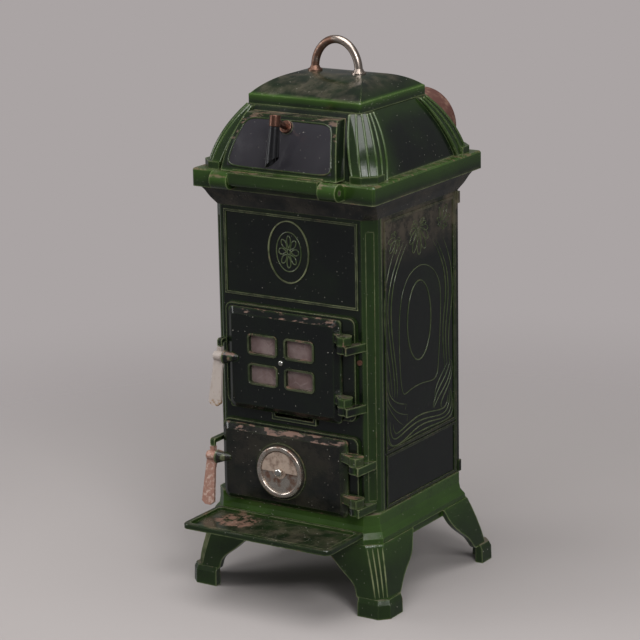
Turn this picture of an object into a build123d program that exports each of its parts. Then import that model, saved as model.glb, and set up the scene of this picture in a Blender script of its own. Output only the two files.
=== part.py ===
from build123d import *
import os
from math import cos, hypot, pi, radians, sin, sqrt, tan

# Cast-iron room stove. Millimetres, +Z up, the front faces -Y, X to the right seen from the front.
# Every piece is drawn about the vertical axis through the middle of the cornice, and is moved along Y
# when it is written, so that the written origin is on the floor under the middle of the whole outline.

# ---- driving dimensions: body shell ----
BODY_HALF = 162.0          # half width of the body over its beads
BODY_FRONT = 157.0         # front face over its beads, in front of the axis
BODY_BACK = 140.0          # back face, behind the axis
BODY_CHAMFER = 20.0        # corner chamfer of the body
BACK_CHAMFER = 14.0        # corner chamfer at the back
BODY_TOP = 677.0           # top of the body plates
PLATE = 7.0                # thickness of a body plate behind its beads
EAR_OUT = 3.0              # small ears on the back plate
EAR_WIDE = 8.0
EAR_HIGH = 20.0
BEAD = 2.0                 # height of the raised beads
BEAD_WIDTH = 4.0
FRONT_RETURN = 32.0        # how far the front plate's ends run back along the sides
BACK_RETURN = 23.0         # how far the back plate's ends run forward along the sides
SIDE_SPLIT = 99.0          # lower edge of the upper side panel above the base
SIDE_MARGINS = (3.0, 8.0)  # plain strips under and over the side panels
FLUTE_WIDTH = 13.0         # long sunk panel on each corner chamfer
FLUTE_DEPTH = 2.0
FLUTE_MARGIN = 22.0        # plain length above and below a flute

# ---- base with legs ----
PLINTH_TOP = 170.0         # top of the base, where the plates stand
PLINTH_HALF = BODY_HALF + 1.0
PLINTH_FRONT = BODY_FRONT + 8.0
PLINTH_BACK = BODY_BACK + 4.0
PLINTH_UPRIGHT = 19.0      # plain upright part under the top
LEDGE_Z = 130.0            # top of the ledge below the plinth
LEDGE_SPREAD = 9.0         # how far the ledge stands out from the plinth
LEDGE_THICK = 9.0
LEDGE_CHAMFER = 24.0
BASE_WALL = 9.0
BASE_FLOOR = 7.0
APRON_DROP = 13.0          # apron below the underside of the ledge
APRON_INSET = 4.0
FOOT_SPREAD = 29.0         # how far the feet stand outside the ledge, sideways
FOOT_SPREAD_FRONT = 18.0
FOOT_SPREAD_BACK = 35.0
FOOT_HEIGHT = 33.0
FOOT_REACH = 56.0
FOOT_WALL = 14.0
FOOT_STEPS = ((0.0, 0.0), (0.75, 0.5), (1.0, 4.0))   # share of a foot's height, inset of its outline
LEG_WALL = 10.0
LEG_CHAMFERS = (22.0, 15.0)                    # corner chamfer at the top of a leg and at the floor
# height, share of the outward sweep, reach along the front, reach along the side
LEG_STATIONS = (
    (121.0, 0.05, 118.0, 122.0), (108.0, 0.17, 108.0, 117.0), (95.0, 0.28, 97.0, 113.0),
    (84.0, 0.38, 87.0, 107.0), (72.0, 0.47, 76.0, 95.0), (60.0, 0.56, 63.0, 80.0),
    (45.0, 0.66, 54.0, 67.0), (31.0, 0.75, 51.0, 57.0),
)
LEG_BACK_SHARES = (0.7, 0.86)                  # reaches of a rear leg, as shares of a front one

# ---- hearth tray ----
TRAY_HALF = PLINTH_HALF - 15.0
TRAY_REACH = 285.0         # front edge of the tray, in front of the axis
TRAY_TOP = 144.0
TRAY_DEPTH = 9.0
TRAY_RIM = 9.0
TRAY_FLOOR = 4.0
TRAY_ROUND = 12.0
TRAY_BACK_WALL = 7.0
TRAY_BACK_DROP = 12.0      # how far the back wall hangs under the tray
TRAY_BOLT_X = 38.0
TRAY_BOLT_Z = 116.0

# ---- front plate openings, seen from the front ----
PANEL_HALF = BODY_HALF - 29.5                  # upper ornament panel
PANEL_BOTTOM = 523.0
PANEL_TOP = 670.0
OVAL_Z = 607.5
OVAL_X = -3.0
OVAL_HALF_WIDE = 41.0
OVAL_HALF_HIGH = 54.0
OVAL_LINE = 2.2            # width of the raised line round the oval
# left, right, bottom, top of the fuel opening
FIRE_HOLE = (56.0 - BODY_HALF, BODY_HALF - 82.0, 345.0, 487.0)
LAND_WIDE = (24.0, 49.0)                       # frame round it, left and right
LAND_BELOW = 14.0
LAND_ABOVE = 22.0
LAND_HIGH = 5.0
SLOT_HOLE = (-35.0, 42.0, 318.0, 325.0)        # poker slot under the fuel opening
SLOT_BORDER = 6.0
SLOT_RAISE = 3.0
ASH_HOLE = (50.0 - BODY_HALF, BODY_HALF - 72.0, 177.0, 276.0)      # ash opening
ASH_LAND = (22.5 - BODY_HALF, BODY_HALF - 30.0, 172.0, 302.0)      # frame round it

# ---- doors ----
DOOR_FACE = BODY_FRONT + 17.0                  # outer face of both doors, in front of the axis
DOOR_BACK_GAP = 0.8        # between a door's rim and the frame behind it
DOOR_PLATE = 6.0
DOOR_RIM = 12.0
DOOR_BEVEL = 10.0
DOOR_EDGE = 3.0            # square edge behind the bevel
DOOR_ROUND = 12.0
FIRE_DOOR = (41.0 - BODY_HALF, BODY_HALF - 58.5, 326.0, 504.0)
ASH_DOOR = (24.0 - BODY_HALF, BODY_HALF - 48.5, 160.0, 297.0)
ASH_RIM_BOTTOM = 172.0     # the ash door's rim stops above the plinth
WINDOW_WIDE = 54.0
WINDOW_HIGH = 31.5
WINDOW_PITCH_X = 73.6
WINDOW_PITCH_Z = 52.4
WINDOW_CENTRE = (-11.0, 418.0)
WINDOW_ROUND = 5.0
WINDOW_BEAD = 3.0
MICA_THICK = 1.0
MICA_MARGIN = 7.0
RETAINER_THICK = 2.0
WINDOW_BOLT_R = 3.0
MICA_NUT = 2.0

# ---- door hinges ----
HINGE_FRONT = BODY_FRONT + 19.0                # hinge axis in front of the stove axis
FIRE_HINGE_X = BODY_HALF - 45.0
ASH_HINGE_X = BODY_HALF - 25.0
KNUCKLE_R = 13.0
KNUCKLE_HIGH = 14.0
HINGE_GAP = 0.4            # between a door's knuckle and the lug under it
HINGE_PIN_R = 4.0
RUNNING_FIT = 0.05         # radial clearance of a pin that turns
SEAT_FIT = 0.02            # radial clearance of a pin that is driven in
FIRE_LUG = 27.0            # frame lugs to the right of their hinge axis
ASH_LUG = 18.0
LUG_POINT = (14.0, 19.0)   # front corner of a lug, right of the axis and in front of it
FIRE_KNUCKLES = (468.4, 362.4)                 # undersides of the fire door's knuckles
ASH_KNUCKLES = (262.4, 189.4)
KNUCKLE_POINT = (8.0, 16.0)                    # front corner of a door knuckle
KNUCKLE_ARM = 9.0          # how far a knuckle reaches over the door

# ---- latch levers ----
LATCH_FRONT = BODY_FRONT + 23.0                # latch axis in front of the stove axis
FIRE_LATCH_Z = 416.0
ASH_LATCH_Z = 235.0
BOSS_R = 12.0
BOSS_TIP_R = 4.0
BOSS_LENGTH = 24.0
FIRE_BOSS_X = 40.0 - BODY_HALF                 # left end of the fire door's boss
ASH_BOSS_X = 19.5 - BODY_HALF
HUB_R = 8.0
HUB_LENGTH = 19.0
LATCH_GAP = 0.5
LATCH_PIN_R = 4.0
GRIP_LENGTH = 86.0
GRIP_THICK = 5.0
GRIP_TOP_WIDE = 15.0
GRIP_END_WIDE = 25.0
GRIP_LEAN = 10.0           # degrees that a grip leans forward
GRIP_POINT = 6.0
NOSE_START = 2.0           # nose behind the latch axis
NOSE_THICK = 9.0
NOSE_HIGH = 15.0           # nose above the latch axis
CATCH_WIDE = 9.0
CATCH_REACH = BODY_FRONT + 19.0                # front of a catch, in front of the axis
CATCH_HIGH = 13.0
CATCH_LIP = 5.0
CATCH_GAP = 1.2            # between a nose and the catch over it

# ---- air regulator ----
REG_X = -15.0
REG_Z = 226.0
REG_BOSS_R = 50.0          # raised round seat on the door
REG_BOSS_HIGH = 2.0
REG_R = 45.5
REG_INNER_R = 37.0
REG_RING_HIGH = 6.5
REG_PLATE = 2.0            # fixed lower half inside the ring
REG_FLAP_R = 36.0
REG_FLAP = 2.0
REG_HUB_R = 12.0
REG_GAP = 0.3
REG_HOLE_IN = 14.0
REG_HOLE_OUT = 32.0
REG_HOLE_DEG = 66.0
REG_HOLES = (45, 135)      # directions of the air holes
REG_BOLT_R = 4.0
REG_KNOB_R = 7.5
REG_KNOB_LONG = 7.0

# ---- cornice ----
CORNICE_HALF = BODY_HALF + 18.0
CORNICE_DEPTH = BODY_HALF + 16.5               # front and back faces from the axis
CORNICE_TOP = 739.0
CORNICE_BAND = 31.0
CORNICE_CHAMFER = 3.0
CORNICE_WALL = 12.0
CORNICE_PLATE = 6.0
CORNICE_OPEN = BODY_HALF - 32.0                # half width of the hole in its top plate
CORNICE_SHELF = 20.0       # how much further its back edge stands in
# share of the moulding's height, share of its spread over the body
MOULDING = ((0.0, 0.04), (0.12, 0.13), (0.25, 0.23), (0.4, 0.34), (0.75, 0.53), (1.0, 0.72))

# ---- hood ----
HOOD_BASE_HALF = BODY_HALF
HOOD_MID_HALF = HOOD_BASE_HALF - 18.0
HOOD_MID_Z = 794.0
HOOD_TOP_HALF = HOOD_BASE_HALF - 51.5
HOOD_TOP = 842.4
HOOD_CHAMFER = 14.0
RIB_PROUD = 6.0            # how far the corner bands stand out
RIB_CHAMFER = 20.0
# half distance between two bands at the foot and on top, on the front and on a side
RIB_FRONT = (HOOD_BASE_HALF - 30.5, HOOD_TOP_HALF - 15.5)
RIB_SIDE = (HOOD_BASE_HALF - 47.0, HOOD_TOP_HALF - 36.5)
PEDESTAL_HALF = HOOD_BASE_HALF + 9.0           # blocks under the corner bands
PEDESTAL_INNER = HOOD_BASE_HALF - 33.0
PEDESTAL_HIGH = 13.0
HOOD_WALL = 6.0
HOOD_MOUTH = HOOD_TOP_HALF - 16.5              # half width of the square hole in its top
HOOD_LUG = 22.0            # inner feet of the hood, screwed to the cornice
HOOD_LUG_Y = (-65.0, 51.0)
FLUE_R = 66.0              # outside of the flue collar
FLUE_WALL = 5.0
FLUE_Z = 753.0
FLUE_REACH = 290.0         # end of the flue collar behind the axis
SLEEVE_WALL = 6.5
SLEEVE_START = HOOD_BASE_HALF - 44.0
SLEEVE_END = HOOD_BASE_HALF + 22.0
SLEEVE_GAP = 0.3
FLUE_START = SLEEVE_START + 6.0
COLLAR_ANGLES = (0, 120, 240)                  # where the collar's screws sit
COLLAR_SCREW_IN = 8.0      # from the sleeve's end

# ---- hood door ----
DOOR_PROUD = 27.0          # how far the hood door stands out from the hood
HOOD_DOOR_GAP = 1.2
HOOD_DOOR_WALL = 5.0
HOOD_DOOR_BASE = 743.0
HOOD_DOOR_TOP = 836.0
# half widths at base, middle and top
HOOD_DOOR_HALVES = (HOOD_BASE_HALF - 48.0, HOOD_MID_HALF - 39.0, HOOD_TOP_HALF - 20.5)
HOOD_HOLE_INSET = 11.0
HOOD_AXIS_FRONT = CORNICE_DEPTH + 16.5
HOOD_AXIS_Z = 728.0
BARREL_R = 15.0
BARREL_START = HOOD_BASE_HALF - 72.5
BARREL_LONG = 34.5
BAR_FRONT = HOOD_AXIS_FRONT + 11.0             # front of the door's hinge bar
BAR_BACK = HOOD_AXIS_FRONT - 11.0
BAR_TOP = 744.5
BAR_BOTTOM = 720.0
BAR_ROUND = 9.0
BAR_SIDE_GAP = 0.8
HOOD_PIN_R = 4.0
HOOD_PIN_LONG = 56.0

# ---- hood latch ----
HOOD_LATCH_X = 0.5
HOOD_LATCH_Z = 819.0
LATCH_RISE = 26.0          # degrees that the stem points upwards
LATCH_BOSS_R = 12.0
LATCH_BOSS_OUT = 2.5       # boss in front of the door's face
LATCH_BOSS_IN = 11.0       # and behind it
STEM_R = 4.0
COLLAR_R = 11.0
COLLAR_THICK = 5.0
NECK_R = 5.5               # stem between the collar and the head
HEAD_OUT = 41.0            # middle of the head, in front of the door's face
HEAD_R = 9.5
HEAD_HIGH = 19.0
TONGUE_REACH = 20.0
TONGUE_HALF = 8.0
TONGUE_THICK = 4.0
SHEET_LEAN = 9.0           # degrees that the rolled sheet handle leans forward
SHEET_R = (8.7, 11.3)      # its outer radius under the head and at its end
SHEET_THICK = 1.6
SHEET_LONG = 78.0          # its tip below the middle of the head
SHEET_POINT = 0.9          # slope of its cut lower end
SHEET_SEAM = 1.5
SPIGOT_LONG = 12.0

# ---- lid ----
LID_HALF = HOOD_TOP_HALF + 1.5
LID_DEPTH = LID_HALF - 6.5
LID_SEAT = 0.3
LID_BAND = 17.6
LID_TOP = 889.0
LID_PLATEAU = (57.0, 16.0)
LID_SHOULDER = 12.0        # how much the lid's sides bulge
LID_WALL = 6.0
LID_RIM = 3.0              # rim under the lid, inside the hood's mouth
LID_RIM_DROP = 8.0
LID_RIM_GAP = 1.5
HANDLE_TOP = 951.5
HANDLE_HALF = 43.5
HANDLE_R = 7.0
HANDLE_SPRING = 893.0      # where the arch starts to bend
HANDLE_FOOT_R = (12.5, 10.4)
HANDLE_FOOT_HIGH = (3.0, 12.0)
HANDLE_STUD_R = 3.0

# ---- inside ----
GRATE_TOP = 312.0          # top of the plate that carries the fire
GRATE_PLATE = 8.0
GRATE_HALF_X = BODY_HALF - 72.0
GRATE_HALF_Y = 79.0
GRATE_THICK = 7.0
GRATE_TRAVEL = 8.0
GRATE_SEAT = 3.0
GRATE_SLOTS = 9
GRATE_SLOT_WIDE = 8.0
GRATE_BORDER = 12.0
GRATE_LIFT = 0.3
TONGUE_WIDE = 20.0         # tongue in front of the grate, with an upright tip
TIP_THICK = 5.0
BRICK_THICK = 25.0
BRICK_TOP = 476.0
BRICK_GAP = 0.5
BRICK_FRONT = BODY_FRONT - 45.0                # front ends of the side bricks, in front of the axis
BRICK_BACK = BODY_BACK - 42.0                  # front face of the back brick, behind the axis
BAFFLE_Z = 560.0
BAFFLE_THICK = 5.0
BAFFLE_FRONT = 60.0
INNER_CORNER = 12.0        # corner chamfer of the plates inside
SUPPORT_WIDE = 14.0        # ledges inside the side plates
SUPPORT_HIGH = 6.0
ROD_R = 4.0
ROD_FIT = 0.3
ROD_X = BODY_HALF - 21.0
ROD_FRONT = BODY_FRONT - 26.0
ROD_BACK = BODY_BACK - 24.0
NUT_HIGH = 6.5
NUT_FLATS = 13.0
PAN_HALF = BODY_HALF - 68.0
PAN_FRONT = BODY_FRONT - 24.0
PAN_BACK = BODY_BACK - 48.0
PAN_HIGH = 62.0
PAN_SHEET = 2.0
RUNNER_HIGH = 8.0
RUNNER_WIDE = 10.0
RUNNER_X = 60.0
PAN_HANDLE_HALF = 30.0
PAN_HANDLE_OUT = 12.0
PAN_HANDLE_UP = 34.0
PAN_HANDLE_HIGH = 10.0
PAN_STRIP = 3.0

# ---- small fasteners ----
SCREW_R = 2.5
SCREW_HEAD_R = 4.5
SCREW_HEAD = 3.0
FRAME_SCREW = (BODY_HALF - 27.5, 434.0)

# ---- values worked out from the ones above ----
SHIFT_Y = -(FLUE_REACH - TRAY_REACH) / 2
EIGHTH = tan(pi / 8)
HALF_TURN = 180.0
GROUND_FRONT = -(BODY_FRONT - BEAD)
GROUND_SIDE = BODY_HALF - BEAD
INNER_FRONT = GROUND_FRONT + PLATE
INNER_SIDE = GROUND_SIDE - PLATE
INNER_BACK = BODY_BACK - PLATE
DOOR_BACK = -(BODY_FRONT + LAND_HIGH + DOOR_BACK_GAP)
HINGE_Y = -HINGE_FRONT
LATCH_Y = -LATCH_FRONT
SIDE_START = -(BODY_FRONT - FRONT_RETURN)
SIDE_END = BODY_BACK - BACK_RETURN
LEDGE_HALF = PLINTH_HALF + LEDGE_SPREAD
LEDGE_FRONT = PLINTH_FRONT + LEDGE_SPREAD
LEDGE_BACK = PLINTH_BACK + LEDGE_SPREAD
LEDGE_UNDER = LEDGE_Z - LEDGE_THICK
TRAY_BACK = -LEDGE_FRONT
PAN_Z = PLINTH_TOP + RUNNER_HIGH
PAN_X = (ASH_HOLE[0] + ASH_HOLE[1]) / 2
GRATE_Z = GRATE_TOP - GRATE_PLATE + GRATE_SEAT + GRATE_LIFT
HOOD_AXIS_Y = -HOOD_AXIS_FRONT
BAND_Z = CORNICE_TOP - CORNICE_BAND
SLEEVE_R = FLUE_R + SLEEVE_GAP + SLEEVE_WALL
HOOD_MOUTH_Y = HOOD_MOUTH - (LID_HALF - LID_DEPTH)
LID_EDGE_X = HOOD_MOUTH - LID_RIM_GAP
LID_EDGE_Y = HOOD_MOUTH_Y - LID_RIM_GAP
LID_Z = HOOD_TOP + LID_SEAT


def box(x0, x1, y0, y1, z0, z1):
    """A block between two corners."""
    centre = ((x0 + x1) / 2, (y0 + y1) / 2, (z0 + z1) / 2)
    return Pos(*centre) * Box(abs(x1 - x0), abs(y1 - y0), abs(z1 - z0))


def prism(points, direction, length):
    """A straight prism on a closed outline of points in space."""
    return extrude(make_face(Polyline(*points, close=True)), amount=length, dir=direction)


def rod(start, direction, length, radius):
    """A round rod from a point, along a direction."""
    return extrude(Plane(origin=start, z_dir=direction) * Circle(radius), amount=length)


def ring(start, direction, length, outer, inner):
    """A round tube from a point, along a direction."""
    return rod(start, direction, length, outer) - rod(start, direction, length, inner)


def hexagon(start, direction, length, flats):
    """A hexagonal bar from a point, along a direction."""
    return extrude(Plane(origin=start, z_dir=direction) * RegularPolygon(flats / sqrt(3), 6), amount=length)


def cone(start, direction, length, first, last):
    """A round tapering bar from a point, along a direction, with its radius at both ends."""
    end = Vector(start) + Vector(direction) * length
    return loft([
        Plane(origin=start, z_dir=direction) * Circle(first),
        Plane(origin=end, z_dir=direction) * Circle(last),
    ])


def rounded(x0, x1, z0, z1, radius, y0, y1):
    """A block with rounded upright-plane corners, from y0 back to y1."""
    plane = Plane(origin=((x0 + x1) / 2, y0, (z0 + z1) / 2), x_dir=(1, 0, 0), z_dir=(0, 1, 0))
    return extrude(plane * RectangleRounded(x1 - x0, z1 - z0, radius), amount=y1 - y0)


def octagon(half, front, back, chamfer, z):
    """Plan outline of a rectangle with chamfered corners."""
    return [
        (-half, -front + chamfer, z), (-half + chamfer, -front, z),
        (half - chamfer, -front, z), (half, -front + chamfer, z),
        (half, back - chamfer, z), (half - chamfer, back, z),
        (-half + chamfer, back, z), (-half, back - chamfer, z),
    ]


def slab(half, front, back, chamfer, z0, z1):
    """A chamfered rectangle extruded upwards."""
    return prism(octagon(half, front, back, chamfer, z0), (0, 0, 1), z1 - z0)


def stack(outlines, ruled=True):
    """A loft through closed outlines of points."""
    return loft([make_face(Polyline(*points, close=True)) for points in outlines], ruled=ruled)


def one(*pieces):
    """Several overlapping solids as one."""
    total = pieces[0]
    for piece in pieces[1:]:
        total = total + piece
    return total


def bead_frame(x0, x1, z0, z1, y0, y1):
    """A raised rectangular line on an upright XZ face."""
    inner = box(x0 + BEAD_WIDTH, x1 - BEAD_WIDTH, y0 - 1, y1 + 1, z0 + BEAD_WIDTH, z1 - BEAD_WIDTH)
    return box(x0, x1, y0, y1, z0, z1) - inner


# ---------------------------------------------------------------- base
def leg_outline(half, depth, reach_x, reach_y, wall, c, sx, sy, z):
    """L-shaped plan outline of one leg at a height."""
    k = wall * EIGHTH
    corner = [
        (half - reach_x, depth), (half - c, depth), (half, depth - c), (half, depth - reach_y),
        (half - wall, depth - reach_y), (half - wall, depth - c - k),
        (half - c - k, depth - wall), (half - reach_x, depth - wall),
    ]
    return [(sx * x, sy * y, z) for x, y in corner]


def leg(sx, sy):
    """One cast leg: a curved corner shell under the base, on a thicker foot."""
    ledge_depth = LEDGE_FRONT if sy < 0 else LEDGE_BACK
    spread = FOOT_SPREAD_FRONT if sy < 0 else FOOT_SPREAD_BACK
    share_x, share_y = (1.0, 1.0) if sy < 0 else LEG_BACK_SHARES
    wide, slim = LEG_CHAMFERS
    outlines = []
    for z, share, reach_x, reach_y in LEG_STATIONS:
        half = LEDGE_HALF + share * FOOT_SPREAD
        depth = ledge_depth + share * spread
        outlines.append(leg_outline(half, depth, reach_x * share_x, reach_y * share_y, LEG_WALL,
                                    wide + share * (slim - wide), sx, sy, z))
    shell = stack(outlines, ruled=False)
    foot = []
    for up, inset in FOOT_STEPS:
        half = LEDGE_HALF + FOOT_SPREAD - inset
        depth = ledge_depth + spread - inset
        foot.append(leg_outline(half, depth, FOOT_REACH * share_x - inset, FOOT_REACH * share_y - inset,
                                FOOT_WALL - inset, slim - inset * 0.4, sx, sy, up * FOOT_HEIGHT))
    return shell + stack(foot)


def base_casting():
    """Plinth, ledge, apron and four legs in one casting, with the ash floor and its two runners."""
    upright = slab(PLINTH_HALF, PLINTH_FRONT, PLINTH_BACK, BODY_CHAMFER,
                   PLINTH_TOP - PLINTH_UPRIGHT, PLINTH_TOP)
    flare = stack([
        octagon(LEDGE_HALF, LEDGE_FRONT, LEDGE_BACK, LEDGE_CHAMFER, LEDGE_Z),
        octagon(PLINTH_HALF + LEDGE_SPREAD * 0.35, PLINTH_FRONT + LEDGE_SPREAD * 0.35,
                PLINTH_BACK + LEDGE_SPREAD * 0.35, LEDGE_CHAMFER, LEDGE_Z + LEDGE_SPREAD),
        octagon(PLINTH_HALF, PLINTH_FRONT, PLINTH_BACK, BODY_CHAMFER, PLINTH_TOP - PLINTH_UPRIGHT),
    ])
    ledge = slab(LEDGE_HALF, LEDGE_FRONT, LEDGE_BACK, LEDGE_CHAMFER, LEDGE_UNDER, LEDGE_Z)
    inset = APRON_INSET
    apron = slab(LEDGE_HALF - inset, LEDGE_FRONT - inset, LEDGE_BACK - inset, LEDGE_CHAMFER,
                 LEDGE_UNDER - APRON_DROP, LEDGE_UNDER)
    hollow = slab(PLINTH_HALF - BASE_WALL, PLINTH_FRONT - BASE_WALL, PLINTH_BACK - BASE_WALL,
                  BODY_CHAMFER - BASE_WALL * EIGHTH, LEDGE_UNDER - APRON_DROP, PLINTH_TOP - BASE_FLOOR)
    base = one(upright, flare, ledge, apron) - hollow
    for sx in (-1, 1):
        for sy in (-1, 1):
            base = base + leg(sx, sy)
        runner = box(PAN_X + sx * RUNNER_X - RUNNER_WIDE / 2, PAN_X + sx * RUNNER_X + RUNNER_WIDE / 2,
                     -PAN_FRONT, PAN_BACK, PLINTH_TOP - 1, PAN_Z)
        base = base + runner
        bolt = rod((sx * TRAY_BOLT_X, -LEDGE_FRONT - 1, TRAY_BOLT_Z), (0, 1, 0),
                   LEDGE_SPREAD + BASE_WALL + 4, SCREW_R + ROD_FIT)
        base = base - bolt
    for x, y in rod_places():
        base = base - rod((x, y, PLINTH_TOP - BASE_FLOOR - 1), (0, 0, 1), BASE_FLOOR + 2, ROD_R + ROD_FIT)
    return base


def tray():
    """Hearth tray with a raised rounded rim, bolted to the front of the base."""
    z0 = TRAY_TOP - TRAY_DEPTH
    outline = [(-TRAY_HALF, TRAY_BACK, z0), (-TRAY_HALF, -TRAY_REACH, z0),
               (TRAY_HALF, -TRAY_REACH, z0), (TRAY_HALF, TRAY_BACK, z0)]
    body = prism(outline, (0, 0, 1), TRAY_DEPTH)
    uprights = body.edges().filter_by(Axis.Z).group_by(Axis.Y)[0]
    body = fillet(uprights, TRAY_ROUND)
    body = fillet(body.faces().sort_by(Axis.Z)[-1].edges().sort_by(Axis.Y)[:-1], TRAY_RIM / 3)
    hollow = box(-TRAY_HALF + TRAY_RIM, TRAY_HALF - TRAY_RIM, -TRAY_REACH + TRAY_RIM,
                 TRAY_BACK - TRAY_BACK_WALL, z0 + TRAY_FLOOR, TRAY_TOP + 1)
    hollow = fillet(hollow.edges().filter_by(Axis.Z), TRAY_ROUND - TRAY_RIM / 2)
    wall_half = TRAY_BOLT_X + TRAY_BACK_DROP
    wall = box(-wall_half, wall_half, TRAY_BACK - TRAY_BACK_WALL, TRAY_BACK,
               LEDGE_UNDER - TRAY_BACK_DROP, z0 + 1)
    body = body - hollow + wall
    for sx in (-1, 1):
        body = body - rod((sx * TRAY_BOLT_X, TRAY_BACK + 1, TRAY_BOLT_Z), (0, -1, 0),
                          TRAY_BACK_WALL + 2, SCREW_R + ROD_FIT)
    return body


def tray_bolts():
    """Two screws that hold the tray's back wall to the apron."""
    group = []
    for sx in (-1, 1):
        x = sx * TRAY_BOLT_X
        z = TRAY_BOLT_Z
        front = TRAY_BACK - TRAY_BACK_WALL
        shank = rod((x, front, z), (0, 1, 0), TRAY_BACK_WALL + LEDGE_SPREAD + BASE_WALL + 2, SCREW_R)
        head = rod((x, front - SCREW_HEAD, z), (0, 1, 0), SCREW_HEAD, SCREW_HEAD_R)
        group.append(shank + head)
    return Compound(group)


# ---------------------------------------------------------------- body plates
def front_outline(z):
    """Plan outline of the front plate with its two chamfered ends."""
    side, front, c = GROUND_SIDE, GROUND_FRONT, BODY_CHAMFER
    k = PLATE * EIGHTH
    outer = [(-side, SIDE_START), (-side, front + c), (-side + c, front)]
    inner = [(-side + PLATE, SIDE_START), (-side + PLATE, front + c + k), (-side + c + k, front + PLATE)]
    right = [(-x, y) for x, y in reversed(outer)]
    inner_right = [(-x, y) for x, y in inner]
    points = outer + right + inner_right + list(reversed(inner))
    return [(x, y, z) for x, y in points]


def lands():
    """Raised frames round the fuel and ash openings, which the doors close against."""
    x0, x1, z0, z1 = FIRE_HOLE
    y0, y1 = -BODY_FRONT - LAND_HIGH, GROUND_FRONT + 1
    upper = rounded(x0 - LAND_WIDE[0], x1 + LAND_WIDE[1], z0 - LAND_BELOW, z1 + LAND_ABOVE,
                    DOOR_ROUND, y0, y1)
    x0, x1, z0, z1 = ASH_LAND
    return upper + rounded(x0, x1, z0, z1, DOOR_ROUND, y0, y1)


def frame_lug(axis_x, top, reach):
    """Angular lug on the front plate that carries a hinge pin."""
    z0 = top - KNUCKLE_HIGH
    barrel = rod((axis_x, HINGE_Y, z0), (0, 0, 1), KNUCKLE_HIGH, KNUCKLE_R)
    right = axis_x + reach
    back = chamfer_face_y(right) + 1
    root = [(axis_x - KNUCKLE_R, HINGE_Y, z0), (axis_x + 5, HINGE_Y - KNUCKLE_R + 1, z0),
            (axis_x + LUG_POINT[0], HINGE_Y - LUG_POINT[1], z0), (right, back - 4, z0), (right, back, z0),
            (GROUND_SIDE - BODY_CHAMFER, GROUND_FRONT + 1, z0), (axis_x - KNUCKLE_R, GROUND_FRONT + 1, z0)]
    return barrel + prism(root, (0, 0, 1), KNUCKLE_HIGH)


def chamfer_face_y(x):
    """Y of the body's outer surface at an x, on the front or on a corner chamfer."""
    return GROUND_FRONT + max(0.0, abs(x) - (GROUND_SIDE - BODY_CHAMFER))


def catch(x, latch_z):
    """Hooked lug over a latch's nose."""
    z0 = latch_z + NOSE_HIGH + CATCH_GAP
    x0 = x - CATCH_WIDE / 2
    back = chamfer_face_y(abs(x) + CATCH_WIDE / 2) + 0.8
    arm = box(x0, x0 + CATCH_WIDE, -CATCH_REACH, back, z0 + CATCH_LIP, z0 + CATCH_HIGH)
    lip = box(x0, x0 + CATCH_WIDE, -CATCH_REACH, -CATCH_REACH + CATCH_LIP, z0, z0 + CATCH_HIGH)
    whole = arm + lip
    tops = whole.edges().filter_by(Axis.X).group_by(Axis.Z)[-1].sort_by(Axis.Y)[0]
    return fillet(tops, CATCH_LIP)


def flute(sx):
    """Sunk panel along a front corner chamfer."""
    middle = GROUND_SIDE - BODY_CHAMFER / 2
    depth = GROUND_FRONT + BODY_CHAMFER / 2
    cutter = Box(FLUTE_WIDTH, FLUTE_DEPTH * 2, BODY_TOP - PLINTH_TOP - 2 * FLUTE_MARGIN)
    return Pos(sx * middle, depth, (BODY_TOP + PLINTH_TOP) / 2) * Rot(0, 0, sx * 45) * cutter


def front_plate():
    """Front casting with both door openings, hinge lugs, catches and the ornament panel."""
    plate = prism(front_outline(PLINTH_TOP), (0, 0, 1), BODY_TOP - PLINTH_TOP)
    for sx in (-1, 1):
        plate = plate - flute(sx)
    y0 = -BODY_FRONT
    y1 = GROUND_FRONT + 1
    plate = plate + bead_frame(-PANEL_HALF, PANEL_HALF, PANEL_BOTTOM, PANEL_TOP, y0, y1)
    oval_plane = Plane(origin=(OVAL_X, y0, OVAL_Z), x_dir=(1, 0, 0), z_dir=(0, 1, 0))
    oval = Ellipse(OVAL_HALF_WIDE, OVAL_HALF_HIGH)
    oval = oval - Ellipse(OVAL_HALF_WIDE - OVAL_LINE, OVAL_HALF_HIGH - OVAL_LINE)
    plate = plate + extrude(oval_plane * oval, amount=y1 - y0)
    plate = plate + lands()
    sx0, sx1, sz0, sz1 = SLOT_HOLE
    plate = plate + box(sx0 - SLOT_BORDER, sx1 + SLOT_BORDER, y0 - SLOT_RAISE, y1, sz0 - SLOT_BORDER, sz1 + 2)
    for top in FIRE_KNUCKLES:
        plate = plate + frame_lug(FIRE_HINGE_X, top - HINGE_GAP, FIRE_LUG)
    for top in ASH_KNUCKLES:
        plate = plate + frame_lug(ASH_HINGE_X, top - HINGE_GAP, ASH_LUG)
    plate = plate + catch(nose_x(FIRE_BOSS_X), FIRE_LATCH_Z) + catch(nose_x(ASH_BOSS_X), ASH_LATCH_Z)
    for x0, x1, z0, z1 in (FIRE_HOLE, SLOT_HOLE, ASH_HOLE):
        plate = plate - box(x0, x1, y0 - LAND_HIGH - 1, INNER_FRONT + 1, z0, z1)
    for axis_x, tops in ((FIRE_HINGE_X, FIRE_KNUCKLES), (ASH_HINGE_X, ASH_KNUCKLES)):
        for top in tops:
            plate = plate - rod((axis_x, HINGE_Y, top - HINGE_GAP - KNUCKLE_HIGH - 1), (0, 0, 1),
                                KNUCKLE_HIGH + 2, HINGE_PIN_R + SEAT_FIT)
    x, z = FRAME_SCREW
    return plate - rod((x, -BODY_FRONT - 1, z), (0, 1, 0), PLATE * 2, SCREW_R + SEAT_FIT)


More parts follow.
